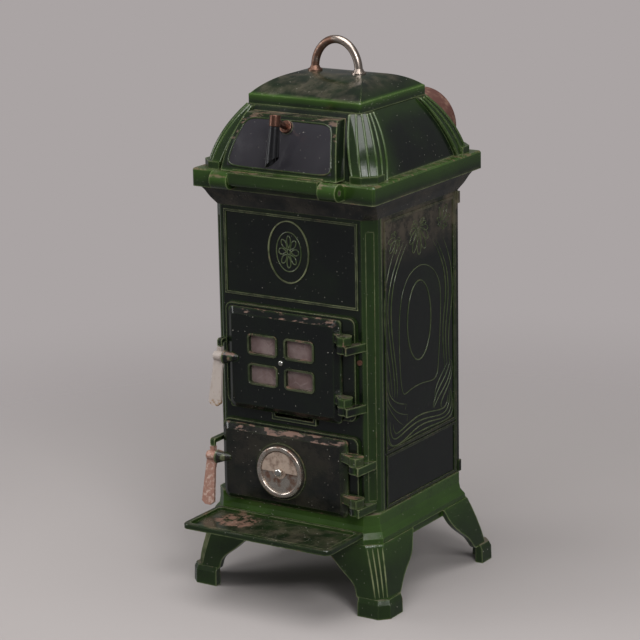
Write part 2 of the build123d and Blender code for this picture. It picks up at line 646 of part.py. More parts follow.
def support(side, z_top, y0, y1):
    """Ledge inside a side plate."""
    near, far = side * (INNER_SIDE - SUPPORT_WIDE), side * (INNER_SIDE + 1)
    return box(near, far, y0, y1, z_top - SUPPORT_HIGH, z_top)


def side_plate(side):
    """Side casting with its two beaded panels and the ledges inside."""
    plate = box(side * INNER_SIDE, side * GROUND_SIDE, SIDE_START, SIDE_END, PLINTH_TOP, BODY_TOP)
    y0 = SIDE_START + 2 * BEAD_WIDTH
    y1 = SIDE_END - 2
    split = PLINTH_TOP + SIDE_SPLIT
    for z0, z1 in ((PLINTH_TOP + SIDE_MARGINS[0], split - BEAD_WIDTH), (split, BODY_TOP - SIDE_MARGINS[1])):
        outer = box(side * (GROUND_SIDE - 1), side * BODY_HALF, y0, y1, z0, z1)
        inner = box(side * (GROUND_SIDE - 2), side * (BODY_HALF + 1), y0 + BEAD_WIDTH, y1 - BEAD_WIDTH,
                    z0 + BEAD_WIDTH, z1 - BEAD_WIDTH)
        plate = plate + (outer - inner)
    plate = plate + support(side, GRATE_TOP - GRATE_PLATE, SIDE_START + 10, SIDE_END - 10)
    plate = plate + support(side, BAFFLE_Z, -BAFFLE_FRONT, SIDE_END - 10)
    return plate


def back_plate():
    """Back casting with chamfered corner posts and small ears at top and bottom."""
    c = BACK_CHAMFER
    k = PLATE * EIGHTH
    outer = [(-BODY_HALF, SIDE_END), (-BODY_HALF, BODY_BACK - c), (-BODY_HALF + c, BODY_BACK)]
    inner = [(-BODY_HALF + PLATE + BEAD, SIDE_END), (-BODY_HALF + PLATE + BEAD, BODY_BACK - c - k),
             (-BODY_HALF + c + k + BEAD, BODY_BACK - PLATE)]
    right = [(-x, y) for x, y in reversed(outer)]
    points = outer + right + [(-x, y) for x, y in inner] + list(reversed(inner))
    plate = prism([(x, y, PLINTH_TOP) for x, y in points], (0, 0, 1), BODY_TOP - PLINTH_TOP)
    for side in (-1, 1):
        for z0 in (PLINTH_TOP + 2, BODY_TOP - 2 - EAR_HIGH):
            ear = box(side * (BODY_HALF - EAR_OUT), side * (BODY_HALF + EAR_OUT), SIDE_END + 5,
                      SIDE_END + 5 + EAR_WIDE, z0, z0 + EAR_HIGH)
            plate = plate + fillet(ear.edges().filter_by(Axis.Z), 2.0)
    return plate


# ---------------------------------------------------------------- cornice
def cornice():
    """Moulded top frame of the body with the hood door's two hinge barrels."""
    height = BAND_Z - BODY_TOP
    outlines = []
    for up, share in MOULDING:
        outlines.append(octagon(
            BODY_HALF + share * (CORNICE_HALF - BODY_HALF), BODY_FRONT + share * (CORNICE_DEPTH - BODY_FRONT),
            BODY_BACK + share * (CORNICE_DEPTH - BODY_BACK),
            BODY_CHAMFER - share * (BODY_CHAMFER - CORNICE_CHAMFER), BODY_TOP + up * height))
    band = slab(CORNICE_HALF, CORNICE_DEPTH, CORNICE_DEPTH, CORNICE_CHAMFER, BAND_Z, CORNICE_TOP)
    band = chamfer(band.faces().sort_by(Axis.Z)[-1].edges(), 2.5)
    hollow = slab(BODY_HALF - CORNICE_WALL, BODY_FRONT - CORNICE_WALL, BODY_BACK - CORNICE_WALL,
                  BODY_CHAMFER - CORNICE_WALL * EIGHTH, BODY_TOP - 1, CORNICE_TOP - CORNICE_PLATE)
    frame = stack(outlines) + band - hollow
    for side in (-1, 1):
        frame = frame + barrel(side)
    plate_under = CORNICE_TOP - CORNICE_PLATE - 1
    mouth = box(-CORNICE_OPEN, CORNICE_OPEN, -CORNICE_OPEN, CORNICE_OPEN - CORNICE_SHELF,
                plate_under, CORNICE_TOP + 1)
    notch_half = SLEEVE_R + 1
    notch = box(-notch_half, notch_half, SLEEVE_START - 3, CORNICE_DEPTH + 1, BODY_TOP - 1, CORNICE_TOP + 1)
    frame = frame - mouth - notch
    for side in (-1, 1):
        frame = frame - rod((side * (BARREL_START - 1), HOOD_AXIS_Y, HOOD_AXIS_Z), (side, 0, 0),
                            BARREL_LONG + 2, HOOD_PIN_R + SEAT_FIT)
    for x, y in rod_places():
        frame = frame - rod((x, y, plate_under), (0, 0, 1), CORNICE_PLATE + 2, ROD_R + ROD_FIT)
    for x, y in hood_lug_places():
        frame = frame - rod((x, y, plate_under), (0, 0, 1), CORNICE_PLATE + 2, SCREW_R + SEAT_FIT)
    return frame


def barrel(side):
    """Hinge barrel on the front of the cornice."""
    start = side * BARREL_START
    round_part = rod((start, HOOD_AXIS_Y, HOOD_AXIS_Z), (side, 0, 0), BARREL_LONG, BARREL_R)
    web = box(start, start + side * BARREL_LONG, HOOD_AXIS_Y, -CORNICE_DEPTH + 1,
              HOOD_AXIS_Z - BARREL_R, CORNICE_TOP - 2.5)
    return round_part + web


def hood_door_hinge_pins():
    """Two short pins through the barrels into the door's bar."""
    inner = BARREL_START + BARREL_LONG - HOOD_PIN_LONG
    group = []
    for side in (-1, 1):
        group.append(rod((side * inner, HOOD_AXIS_Y, HOOD_AXIS_Z), (side, 0, 0), HOOD_PIN_LONG, HOOD_PIN_R))
    return Compound(group)


# ---------------------------------------------------------------- hood
def hood_arc(offset, z_low, z_high):
    """Centre and radius of the hood's curved side, moved outwards by an offset."""
    a = (HOOD_BASE_HALF, CORNICE_TOP)
    b = (HOOD_MID_HALF, HOOD_MID_Z)
    c = (HOOD_TOP_HALF, HOOD_TOP)
    d = 2 * (a[0] * (b[1] - c[1]) + b[0] * (c[1] - a[1]) + c[0] * (a[1] - b[1]))
    sa, sb, sc = (p[0] ** 2 + p[1] ** 2 for p in (a, b, c))
    cx = (sa * (b[1] - c[1]) + sb * (c[1] - a[1]) + sc * (a[1] - b[1])) / d
    cz = (sa * (c[0] - b[0]) + sb * (a[0] - c[0]) + sc * (b[0] - a[0])) / d
    radius = hypot(a[0] - cx, a[1] - cz)
    middle = (z_low + z_high) / 2
    return [(cx + sqrt(radius ** 2 - (z - cz) ** 2) + offset, z) for z in (z_low, middle, z_high)]


def hood_half(z, offset=0.0):
    """Half width of the hood at a height."""
    return hood_arc(offset, z, z)[0][0]


def dome_side(offset, z_low, z_high, angle, cut):
    """An upright slab with the hood's curved profile on two opposite sides."""
    p0, p1, p2 = hood_arc(offset, z_low, z_high)
    scale = 1.0
    if cut:
        scale = sqrt(2)
    pts = [(p[0] * scale - cut / sqrt(2), p[1]) for p in (p0, p1, p2)]
    right = ThreePointArc(*[(x, 0, z) for x, z in pts])
    left = ThreePointArc(*[(-x, 0, z) for x, z in reversed(pts)])
    top = Line((pts[2][0], 0, pts[2][1]), (-pts[2][0], 0, pts[2][1]))
    bottom = Line((-pts[0][0], 0, pts[0][1]), (pts[0][0], 0, pts[0][1]))
    reach = HOOD_BASE_HALF * 2
    face = make_face(Wire([right, top, left, bottom]))
    return Rot(0, 0, angle) * extrude(face, amount=reach, dir=(0, 1, 0), both=True)


def dome(offset, z_low, z_high, cut=HOOD_CHAMFER):
    """The hood's form: four curved sides and four chamfered corners."""
    form = dome_side(offset, z_low, z_high, 0, 0.0) & dome_side(offset, z_low, z_high, 90, 0.0)
    for angle in (45, 135):
        form = form & dome_side(offset, z_low, z_high, angle, cut)
    return form


def door_outline(inset, y0, y1, z0, z1):
    """Front outline of the hood door with curved sides, as a block from y0 to y1."""
    base, middle, top = (half - inset for half in HOOD_DOOR_HALVES)
    zm = (HOOD_DOOR_BASE + HOOD_DOOR_TOP) / 2
    right = ThreePointArc((base, y0, z0), (middle, y0, zm), (top, y0, z1))
    left = ThreePointArc((-top, y0, z1), (-middle, y0, zm), (-base, y0, z0))
    upper = Line((top, y0, z1), (-top, y0, z1))
    lower = Line((-base, y0, z0), (base, y0, z0))
    return extrude(make_face(Wire([right, upper, left, lower])), amount=y1 - y0, dir=(0, 1, 0))


def door_block(outer, inner, z0, z1):
    """The space in front of the hood between two offsets of its front surface."""
    a = hood_arc(outer, z0, z1)
    b = hood_arc(inner, z0, z1)
    x = -HOOD_BASE_HALF
    front = ThreePointArc(*[(x, -h, z) for h, z in a])
    back = ThreePointArc(*[(x, -h, z) for h, z in reversed(b)])
    top = Line((x, -a[2][0], a[2][1]), (x, -b[2][0], b[2][1]))
    bottom = Line((x, -b[0][0], b[0][1]), (x, -a[0][0], a[0][1]))
    return extrude(make_face(Wire([front, top, back, bottom])), amount=2 * HOOD_BASE_HALF, dir=(1, 0, 0))


def hood_lug_places():
    """Where the hood is screwed to the cornice."""
    x = HOOD_BASE_HALF - HOOD_WALL - HOOD_LUG / 2
    return [(sx * x, y) for sx in (-1, 1) for y in HOOD_LUG_Y]


def gable(halves, z0, z1, angle):
    """A tapering block right through the hood, on either side of its middle."""
    low, high = halves
    points = [(-low, 0, z0), (low, 0, z0), (high, 0, z1), (-high, 0, z1)]
    reach = HOOD_BASE_HALF * 2
    face = make_face(Polyline(*points, close=True))
    return Rot(0, 0, angle) * extrude(face, amount=reach, dir=(0, 1, 0), both=True)


def corner_bands():
    """Raised bands up the hood's corners, on small pedestals."""
    z0, z1 = CORNICE_TOP, HOOD_TOP
    bands = dome(RIB_PROUD, z0, z1, RIB_CHAMFER)
    bands = bands - gable(RIB_FRONT, z0, z1, 0) - gable(RIB_SIDE, z0, z1, 90)
    half, inner = PEDESTAL_HALF, PEDESTAL_INNER
    blocks = slab(half, half, half, RIB_CHAMFER, z0, z0 + PEDESTAL_HIGH)
    blocks = blocks - box(-inner, inner, -half - 1, half + 1, z0 - 1, z0 + PEDESTAL_HIGH + 1)
    blocks = blocks - box(-half - 1, half + 1, -inner, inner, z0 - 1, z0 + PEDESTAL_HIGH + 1)
    return bands + blocks


def hood_casting():
    """Domed shell with a fuel opening in front, a mouth on top and a round hole for the flue behind."""
    shell = dome(0.0, CORNICE_TOP, HOOD_TOP) + corner_bands()
    shell = shell - dome(-HOOD_WALL, CORNICE_TOP - 0.01, HOOD_TOP - HOOD_WALL)
    shell = shell - box(-HOOD_MOUTH, HOOD_MOUTH, -HOOD_MOUTH_Y, HOOD_MOUTH_Y,
                        HOOD_TOP - HOOD_WALL - 1, HOOD_TOP + 1)
    inset = HOOD_HOLE_INSET
    shell = shell - door_outline(inset, -HOOD_AXIS_FRONT, -HOOD_TOP_HALF / 2,
                                 HOOD_DOOR_BASE + inset, HOOD_DOOR_TOP - inset)
    return shell - rod((0, SLEEVE_START - 10, FLUE_Z), (0, 1, 0), HOOD_BASE_HALF, SLEEVE_R + SEAT_FIT)


def hood_space(angle):
    """The space of one hood plate between two corner bands: 0 front, 90 right, 180 back, 270 left."""
    z0, z1 = CORNICE_TOP, HOOD_TOP
    far = 2 * HOOD_BASE_HALF
    if angle % 180 == 0:
        halves, near = RIB_FRONT, HOOD_MOUTH_Y
    else:
        halves, near = RIB_SIDE, HOOD_MOUTH
    space = gable(halves, z0, z1, 0) & box(-far, far, -far, -near, z0, z1)
    for side in (-1, 1):
        space = space - box(side * PEDESTAL_INNER, side * far, -far, 0, z0, z0 + PEDESTAL_HIGH)
    return Rot(0, 0, angle) * space


def hood_plate(angle):
    """One of the hood's four curved plates."""
    return hood_casting() & hood_space(angle)


def hood_corner(sx, sy):
    """One of the hood's corners with its raised band and pedestal."""
    far = 2 * HOOD_BASE_HALF
    corner = hood_casting() & box(0, sx * far, 0, sy * far, CORNICE_TOP, HOOD_TOP)
    for angle in (0, 90, 180, 270):
        corner = corner - hood_space(angle)
    return corner


def hood_side(side):
    """Side plate of the hood with its two inner feet."""
    plate = hood_plate(90 * side)
    for x, y in hood_lug_places():
        if x * side < 0:
            continue
        root = x + side * (HOOD_LUG / 2 + HOOD_WALL - 2)
        half = HOOD_LUG / 2
        lug = box(root, x - side * half, y - half, y + half, CORNICE_TOP, CORNICE_TOP + HOOD_WALL)
        hole = rod((x, y, CORNICE_TOP - 1), (0, 0, 1), HOOD_WALL + 2, SCREW_R + SEAT_FIT)
        plate = plate + lug - hole
    return plate


def flue_sleeve():
    """Round sleeve in the back of the hood that holds the flue collar."""
    length = SLEEVE_END - SLEEVE_START
    sleeve = ring((0, SLEEVE_START, FLUE_Z), (0, 1, 0), length, SLEEVE_R, FLUE_R + SLEEVE_GAP)
    for angle in COLLAR_ANGLES:
        sleeve = sleeve - collar_hole(angle)
    return sleeve


def hood_screws():
    """Four screws that hold the hood on the cornice."""
    group = []
    for x, y in hood_lug_places():
        top = CORNICE_TOP + HOOD_WALL
        length = CORNICE_PLATE + HOOD_WALL + 4
        shank = rod((x, y, top - length), (0, 0, 1), length, SCREW_R)
        group.append(shank + rod((x, y, top), (0, 0, 1), SCREW_HEAD, SCREW_HEAD_R))
    return Compound(group)


def collar_spot(angle):
    """Direction of a collar screw."""
    a = radians(90 + angle)
    return (cos(a), 0, sin(a))


def collar_hole(angle):
    """Hole through sleeve and collar for a screw."""
    d = collar_spot(angle)
    y = SLEEVE_END - COLLAR_SCREW_IN
    start = (d[0] * (FLUE_R - FLUE_WALL - 2), y, FLUE_Z + d[2] * (FLUE_R - FLUE_WALL - 2))
    return rod(start, d, SLEEVE_WALL + FLUE_WALL + 6, SCREW_R + SEAT_FIT)


def flue_collar():
    """Round iron collar for the stovepipe."""
    tube = ring((0, FLUE_START, FLUE_Z), (0, 1, 0), FLUE_REACH - FLUE_START, FLUE_R, FLUE_R - FLUE_WALL)
    for angle in COLLAR_ANGLES:
        tube = tube - collar_hole(angle)
    return tube


def flue_collar_screws():
    """Three screws through the sleeve into the collar."""
    group = []
    for angle in COLLAR_ANGLES:
        d = collar_spot(angle)
        y = SLEEVE_END - COLLAR_SCREW_IN
        inner, seat = FLUE_R - FLUE_WALL, SLEEVE_R + 0.3
        shank = rod((d[0] * inner, y, FLUE_Z + d[2] * inner), d, SLEEVE_R - inner + 1.5, SCREW_R)
        head = rod((d[0] * seat, y, FLUE_Z + d[2] * seat), d, SCREW_HEAD, SCREW_HEAD_R)
        group.append(shank + head)
    return Compound(group)


# ---------------------------------------------------------------- hood door and its latch
def latch_frame():
    """Point on the hood door's outer face where the latch turns, and its axis outwards."""
    rise = radians(LATCH_RISE)
    origin = Vector(HOOD_LATCH_X, -hood_half(HOOD_LATCH_Z, DOOR_PROUD), HOOD_LATCH_Z)
    return origin, Vector(0, -cos(rise), sin(rise))


def latch_head():
    """Middle of the latch's head, and the direction in which the handle hangs from it."""
    origin, out = latch_frame()
    lean = radians(SHEET_LEAN)
    return origin + out * HEAD_OUT, Vector(0, -sin(lean), -cos(lean))


def hood_door():
    """Box-like filling door on the front of the hood, hinged at its foot."""
    z0, z1 = HOOD_DOOR_BASE, HOOD_DOOR_TOP
    wall = HOOD_DOOR_WALL
    far = -HOOD_BASE_HALF * 2
    outer = door_block(DOOR_PROUD, HOOD_DOOR_GAP, z0, z1) & door_outline(0.0, far, 0.0, z0, z1)
    inner = door_block(DOOR_PROUD - wall, HOOD_DOOR_GAP - 5, z0 + wall, z1 - wall)
    inner = inner & door_outline(wall, far, 0.0, z0 + wall, z1 - wall)
    shell = outer - inner
    bar_end = BARREL_START - BAR_SIDE_GAP
    bar = box(-bar_end, bar_end, -BAR_FRONT, -BAR_BACK, BAR_BOTTOM, BAR_TOP)
    bar = fillet(bar.edges().filter_by(Axis.X).group_by(Axis.Z)[0], BAR_ROUND)
    web = box(-bar_end, bar_end, -BAR_BACK - 6, -BAR_BACK + 4, HOOD_AXIS_Z + 8, z0 + wall - 1)
    shell = shell + bar + web
    for side in (-1, 1):
        start = BARREL_START + BARREL_LONG - HOOD_PIN_LONG - 1
        shell = shell - rod((side * start, HOOD_AXIS_Y, HOOD_AXIS_Z), (side, 0, 0), HOOD_PIN_LONG,
                            HOOD_PIN_R + RUNNING_FIT)
    origin, out = latch_frame()
    length = LATCH_BOSS_IN + LATCH_BOSS_OUT
    boss = rod(origin - out * LATCH_BOSS_IN, out, length, LATCH_BOSS_R)
    bore = rod(origin - out * (LATCH_BOSS_IN + 2), out, length + 6, STEM_R + RUNNING_FIT)
    return shell + boss - bore


def hood_latch_stem():
    """Turning stem of the hood latch: collar, neck, upright head and the spigot for the handle."""
    origin, out = latch_frame()
    head, hang = latch_head()
    inside = LATCH_BOSS_IN + LATCH_GAP + TONGUE_THICK + NUT_HIGH
    shaft = rod(origin - out * inside, out, inside + HEAD_OUT, STEM_R)
    base = origin + out * (LATCH_BOSS_OUT + LATCH_GAP)
    collar = fillet(rod(base, out, COLLAR_THICK, COLLAR_R).edges(), 1.5)
    neck = rod(base, out, HEAD_OUT - LATCH_BOSS_OUT - LATCH_GAP, NECK_R)
    knob = rod(head - hang * (HEAD_HIGH / 2), hang, HEAD_HIGH, HEAD_R)
    knob = fillet(knob.edges().filter_by(GeomType.CIRCLE), 1.4)
    spigot = rod(head, hang, HEAD_HIGH / 2 + SPIGOT_LONG, SHEET_R[0] - SHEET_THICK - SEAT_FIT)
    return one(shaft, collar, neck, knob, spigot)


def hood_latch_tongue():
    """Flat tongue behind the hood door, turned by the stem."""
    origin, out = latch_frame()
    place = origin - out * (LATCH_BOSS_IN + LATCH_GAP)
    plane = Plane(origin=place, x_dir=(1, 0, 0), z_dir=-out)
    outline = SlotOverall(TONGUE_REACH + TONGUE_HALF, 2 * TONGUE_HALF)
    plate = extrude(plane * Pos((TONGUE_HALF - TONGUE_REACH) / 2, 0) * outline, amount=TONGUE_THICK)
    return plate - rod(place + out, -out, TONGUE_THICK + 2, STEM_R + SEAT_FIT)


def hood_latch_nut():
    """Nut that holds the tongue on the stem."""
    origin, out = latch_frame()
    place = origin - out * (LATCH_BOSS_IN + LATCH_GAP + TONGUE_THICK)
    nut = hexagon(place, -out, NUT_HIGH - 1, NUT_FLATS)
    return nut - rod(place + out, -out, NUT_HIGH + 2, STEM_R + SEAT_FIT)


def hood_latch_handle():
    """Handle rolled from sheet into a slim cone under the head, cut slantwise at its lower end."""
    head, hang = latch_head()
    top = head + hang * (HEAD_HIGH / 2)
    length = SHEET_LONG - HEAD_HIGH / 2
    slim, wide = SHEET_R
    hollow = cone(top, hang, length, slim - SHEET_THICK, wide - SHEET_THICK)
    roll = cone(top, hang, length, slim, wide) - hollow
    side = Vector(SHEET_SEAM / 2, 0, 0)
    back = Vector(0, -hang.Z, hang.Y) * (2 * wide)
    seam = prism([top - side, top + side, top + side + back, top - side + back], hang, length)
    tip = top + hang * length - Vector(wide, 0, 0)
    cut = Plane(origin=tip, z_dir=(hang + Vector(SHEET_POINT, 0, 0)).normalized())
    knife = extrude(cut * Rectangle(4 * length, 4 * length), amount=length)
    return roll - seam - knife


# ---------------------------------------------------------------- lid
def lid_side(half, plateau, z0, z1, shrink, angle, reach):
    """An upright slab with the lid's bulged slope on two opposite sides."""
    rise = z1 - z0
    run = half - plateau
    mid = (half - run / 2 + LID_SHOULDER * 0.5 - shrink, z0 + rise / 2 + LID_SHOULDER * 0.35)
    low = (half - shrink, z0)
    high = (plateau - shrink * 0.5, z1)
    right = ThreePointArc((low[0], 0, low[1]), (mid[0], 0, mid[1]), (high[0], 0, high[1]))
    left = ThreePointArc((-high[0], 0, high[1]), (-mid[0], 0, mid[1]), (-low[0], 0, low[1]))
    top = Line((high[0], 0, z1), (-high[0], 0, z1))
    bottom = Line((-low[0], 0, z0), (low[0], 0, z0))
    face = make_face(Wire([right, top, left, bottom]))
    return Rot(0, 0, angle) * extrude(face, amount=reach, dir=(0, 1, 0), both=True)


def lid_form(z0, z1, shrink):
    """The hipped, bulged top of the lid."""
    wide = lid_side(LID_HALF - 3, LID_PLATEAU[0], z0, z1, shrink, 0, LID_HALF)
    deep = lid_side(LID_DEPTH - 3, LID_PLATEAU[1], z0, z1, shrink, 90, LID_HALF)
    return wide & deep


def lid_well(z0, z1):
    """The space inside the lid's band."""
    x, y = LID_EDGE_X - LID_RIM, LID_EDGE_Y - LID_RIM
    return box(-x, x, -y, y, z0, z1)


def lid():
    """Loose lid: a band and a hipped top with a narrow plateau, hollow underneath."""
    z1 = LID_Z + LID_BAND
    band = box(-LID_HALF, LID_HALF, -LID_DEPTH, LID_DEPTH, LID_Z, z1)
    band = fillet(band.edges().filter_by(Axis.Z), 4.0)
    band = chamfer(band.faces().sort_by(Axis.Z)[-1].edges(), 1.5)
    whole = band + lid_form(z1 - 0.01, LID_TOP, 0.0)
    whole = whole - lid_well(LID_Z - 1, z1) - lid_form(z1 - 0.02, LID_TOP - LID_WALL, LID_WALL * 2.6)
    for side in (-1, 1):
        whole = whole - rod((side * HANDLE_HALF, 0, LID_TOP - 3 * LID_WALL), (0, 0, 1), 4 * LID_WALL,
                            HANDLE_STUD_R + SEAT_FIT)
    return whole


def lid_rim():
    """Low frame under the lid's band that keeps the lid in the hood's mouth."""
    low = LID_Z - LID_RIM_DROP
    frame = box(-LID_EDGE_X, LID_EDGE_X, -LID_EDGE_Y, LID_EDGE_Y, low, LID_Z)
    return frame - lid_well(low - 1, LID_Z + 1)


def lid_handle():
    """Bright arch handle on two flared feet, with studs through the lid."""
    upright = Plane(origin=(0, 0, HANDLE_SPRING), x_dir=(1, 0, 0), z_dir=(0, -1, 0))
    rise = HANDLE_TOP - HANDLE_R - HANDLE_SPRING
    path = upright * EllipticalCenterArc((0, 0), HANDLE_HALF, rise, start_angle=0, arc_size=HALF_TURN)
    arch = sweep(Plane(origin=path @ 0, z_dir=path % 0) * Circle(HANDLE_R), path=path)
    low, high = HANDLE_FOOT_HIGH
    for side in (-1, 1):
        x = side * HANDLE_HALF
        foot = rod((x, 0, LID_TOP), (0, 0, 1), low, HANDLE_FOOT_R[0])
        foot = fillet(foot.edges().sort_by(Axis.Z)[-1], 1.0)
        flare = cone((x, 0, LID_TOP + low - 1), (0, 0, 1), high - low, HANDLE_FOOT_R[1], HANDLE_R - 1.2)
        reach = LID_WALL + NUT_HIGH + 2
        stud = rod((x, 0, LID_TOP - reach), (0, 0, 1), reach + 2, HANDLE_STUD_R)
        arch = one(arch, foot, flare, stud)
    return arch


def lid_handle_nuts():
    """Two nuts under the lid."""
    group = []
    for side in (-1, 1):
        start = (side * HANDLE_HALF, 0, LID_TOP - LID_WALL - NUT_HIGH)
        nut = hexagon(start, (0, 0, 1), NUT_HIGH - 0.5, NUT_FLATS - 3)
        group.append(nut - rod(start, (0, 0, 1), NUT_HIGH, HANDLE_STUD_R + SEAT_FIT))
    return Compound(group)


# ---------------------------------------------------------------- doors of the body
def door_panel(outline, rim_bottom):
    """Bevelled door plate with a rim behind it."""
    x0, x1, z0, z1 = outline
    edge = DOOR_BACK - DOOR_EDGE
    face = -DOOR_FACE
    low = Plane(origin=((x0 + x1) / 2, edge, (z0 + z1) / 2), x_dir=(1, 0, 0), z_dir=(0, -1, 0))
    high = Plane(origin=((x0 + x1) / 2, face, (z0 + z1) / 2), x_dir=(1, 0, 0), z_dir=(0, -1, 0))
    wide, tall = x1 - x0, z1 - z0
    bevel = loft([
        low * RectangleRounded(wide, tall, DOOR_ROUND),
        high * RectangleRounded(wide - 2 * DOOR_BEVEL, tall - 2 * DOOR_BEVEL, DOOR_ROUND / 2),
    ])
    rim = rounded(x0, x1, rim_bottom, z1, DOOR_ROUND / 2, edge, DOOR_BACK)
    cavity = rounded(x0 + DOOR_RIM, x1 - DOOR_RIM, rim_bottom + DOOR_RIM, z1 - DOOR_RIM, DOOR_ROUND / 2,
                     face + DOOR_PLATE, DOOR_BACK + 1)
    return bevel + rim - cavity


def door_knuckle(axis_x, z0, right_edge):
    """Wedge-shaped door knuckle that turns on a pin over its frame lug."""
    barrel_part = rod((axis_x, HINGE_Y, z0), (0, 0, 1), KNUCKLE_HIGH, KNUCKLE_R)
    arm = [(right_edge - KNUCKLE_ARM, -DOOR_FACE + 1, z0),
           (axis_x + KNUCKLE_POINT[0], HINGE_Y - KNUCKLE_POINT[1], z0),
           (axis_x + KNUCKLE_R, HINGE_Y, z0), (axis_x, HINGE_Y + KNUCKLE_R, z0),
           (right_edge - 2, DOOR_BACK - 1, z0), (right_edge - DOOR_RIM, -DOOR_FACE + 3, z0)]
    return barrel_part + prism(arm, (0, 0, 1), KNUCKLE_HIGH)


def latch_boss(left_end, z):
    """Tapered boss on a door's left edge that holds the latch pin."""
    wide = Plane(origin=(left_end, LATCH_Y, z), z_dir=(1, 0, 0))
    slim = Plane(origin=(left_end + BOSS_LENGTH, LATCH_Y + BOSS_R - BOSS_TIP_R, z), z_dir=(1, 0, 0))
    return loft([wide * Circle(BOSS_R), slim * Circle(BOSS_TIP_R)])


def latch_bore(left_end, z):
    """Blind bore for the latch pin."""
    return rod((left_end - 1, LATCH_Y, z), (1, 0, 0), BOSS_LENGTH * 0.55 + 1, LATCH_PIN_R + SEAT_FIT)


def window_places():
    """Centres of the four panes."""
    cx, cz = WINDOW_CENTRE
    return [(cx + sx * WINDOW_PITCH_X / 2, cz + sz * WINDOW_PITCH_Z / 2) for sz in (1, -1) for sx in (-1, 1)]


def pane(x, z, grow, y0, y1):
    """Rounded block the size of a pane."""
    half_x = WINDOW_WIDE / 2 + grow
    half_z = WINDOW_HIGH / 2 + grow
    return rounded(x - half_x, x + half_x, z - half_z, z + half_z, WINDOW_ROUND + grow, y0, y1)


def fire_door():
    """Fuel door with four beaded panes, two knuckles and the latch boss."""
    door = door_panel(FIRE_DOOR, FIRE_DOOR[2])
    for x, z in window_places():
        door = door + pane(x, z, WINDOW_BEAD, -DOOR_FACE - BEAD, -DOOR_FACE + 1)
    for z0 in FIRE_KNUCKLES:
        door = door + door_knuckle(FIRE_HINGE_X, z0, FIRE_DOOR[1])
    door = door + latch_boss(FIRE_BOSS_X, FIRE_LATCH_Z)
    for x, z in window_places():
        door = door - pane(x, z, 0.0, -DOOR_FACE - 2 * BEAD, DOOR_BACK + 1)
    door = door - rod((WINDOW_CENTRE[0], -DOOR_FACE - 1, WINDOW_CENTRE[1]), (0, 1, 0), DOOR_PLATE + 2,
                      WINDOW_BOLT_R + SEAT_FIT)
    return finish_door(door, FIRE_HINGE_X, FIRE_KNUCKLES, FIRE_BOSS_X, FIRE_LATCH_Z)


def finish_door(door, axis_x, knuckles, boss_x, latch_z):
    """Bores of the hinge knuckles and of the latch boss."""
    for z0 in knuckles:
        door = door - rod((axis_x, HINGE_Y, z0 - 1), (0, 0, 1), KNUCKLE_HIGH + 2, HINGE_PIN_R + RUNNING_FIT)
    return door - latch_bore(boss_x, latch_z)


def mica_size():
    """Half width and half height of the mica sheet."""
    half_x = WINDOW_PITCH_X / 2 + WINDOW_WIDE / 2 + MICA_MARGIN
    half_z = WINDOW_PITCH_Z / 2 + WINDOW_HIGH / 2 + MICA_MARGIN
    return half_x, half_z


def window_layer(y0, thick, holes):
    """A flat sheet behind the panes, with or without window holes."""
    cx, cz = WINDOW_CENTRE
    half_x, half_z = mica_size()
    sheet = rounded(cx - half_x, cx + half_x, cz - half_z, cz + half_z, WINDOW_ROUND, y0, y0 + thick)
    if holes:
        for x, z in window_places():
            sheet = sheet - pane(x, z, 0.0, y0 - 1, y0 + thick + 1)
    return sheet - rod((cx, y0 - 1, cz), (0, 1, 0), thick + 2, WINDOW_BOLT_R + SEAT_FIT)


def mica_sheet():
    """Mica behind the four panes."""
    return window_layer(-DOOR_FACE + DOOR_PLATE, MICA_THICK, False)


def mica_retainer():
    """Sheet frame that presses the mica against the door."""
    return window_layer(-DOOR_FACE + DOOR_PLATE + MICA_THICK, RETAINER_THICK, True)


def mica_bolt():
    """Round-headed bolt in the middle of the panes."""
    cx, cz = WINDOW_CENTRE
    back = -DOOR_FACE + DOOR_PLATE + MICA_THICK + RETAINER_THICK
    shank = rod((cx, -DOOR_FACE, cz), (0, 1, 0), back + DOOR_FACE + MICA_NUT, WINDOW_BOLT_R)
    head = rod((cx, -DOOR_FACE - SCREW_HEAD, cz), (0, 1, 0), SCREW_HEAD, SCREW_HEAD_R)
    return shank + fillet(head.edges().sort_by(Axis.Y)[0], SCREW_HEAD * 0.6)


def mica_nut():
    """Nut behind the retainer."""
    cx, cz = WINDOW_CENTRE
    back = -DOOR_FACE + DOOR_PLATE + MICA_THICK + RETAINER_THICK
    nut = hexagon((cx, back, cz), (0, 1, 0), MICA_NUT, NUT_FLATS - 3)
    return nut - rod((cx, back - 1, cz), (0, 1, 0), NUT_HIGH, WINDOW_BOLT_R + SEAT_FIT)


def ash_door():
    """Lower door with the regulator's air holes, two knuckles and the latch boss."""
    door = door_panel(ASH_DOOR, ASH_RIM_BOTTOM)
    for z0 in ASH_KNUCKLES:
        door = door + door_knuckle(ASH_HINGE_X, z0, ASH_DOOR[1])
    door = door + latch_boss(ASH_BOSS_X, ASH_LATCH_Z)
    door = door + rod((REG_X, -DOOR_FACE - REG_BOSS_HIGH, REG_Z), (0, 1, 0), REG_BOSS_HIGH + 1, REG_BOSS_R)
    for angle in REG_HOLES:
        door = door - air_hole(angle, regulator_front() - 1, DOOR_PLATE + REG_BOSS_HIGH + 2)
    door = door - rod((REG_X, regulator_front() - 1, REG_Z), (0, 1, 0), DOOR_PLATE + REG_BOSS_HIGH + 2,
                      REG_BOLT_R + SEAT_FIT)
    return finish_door(door, ASH_HINGE_X, ASH_KNUCKLES, ASH_BOSS_X, ASH_LATCH_Z)


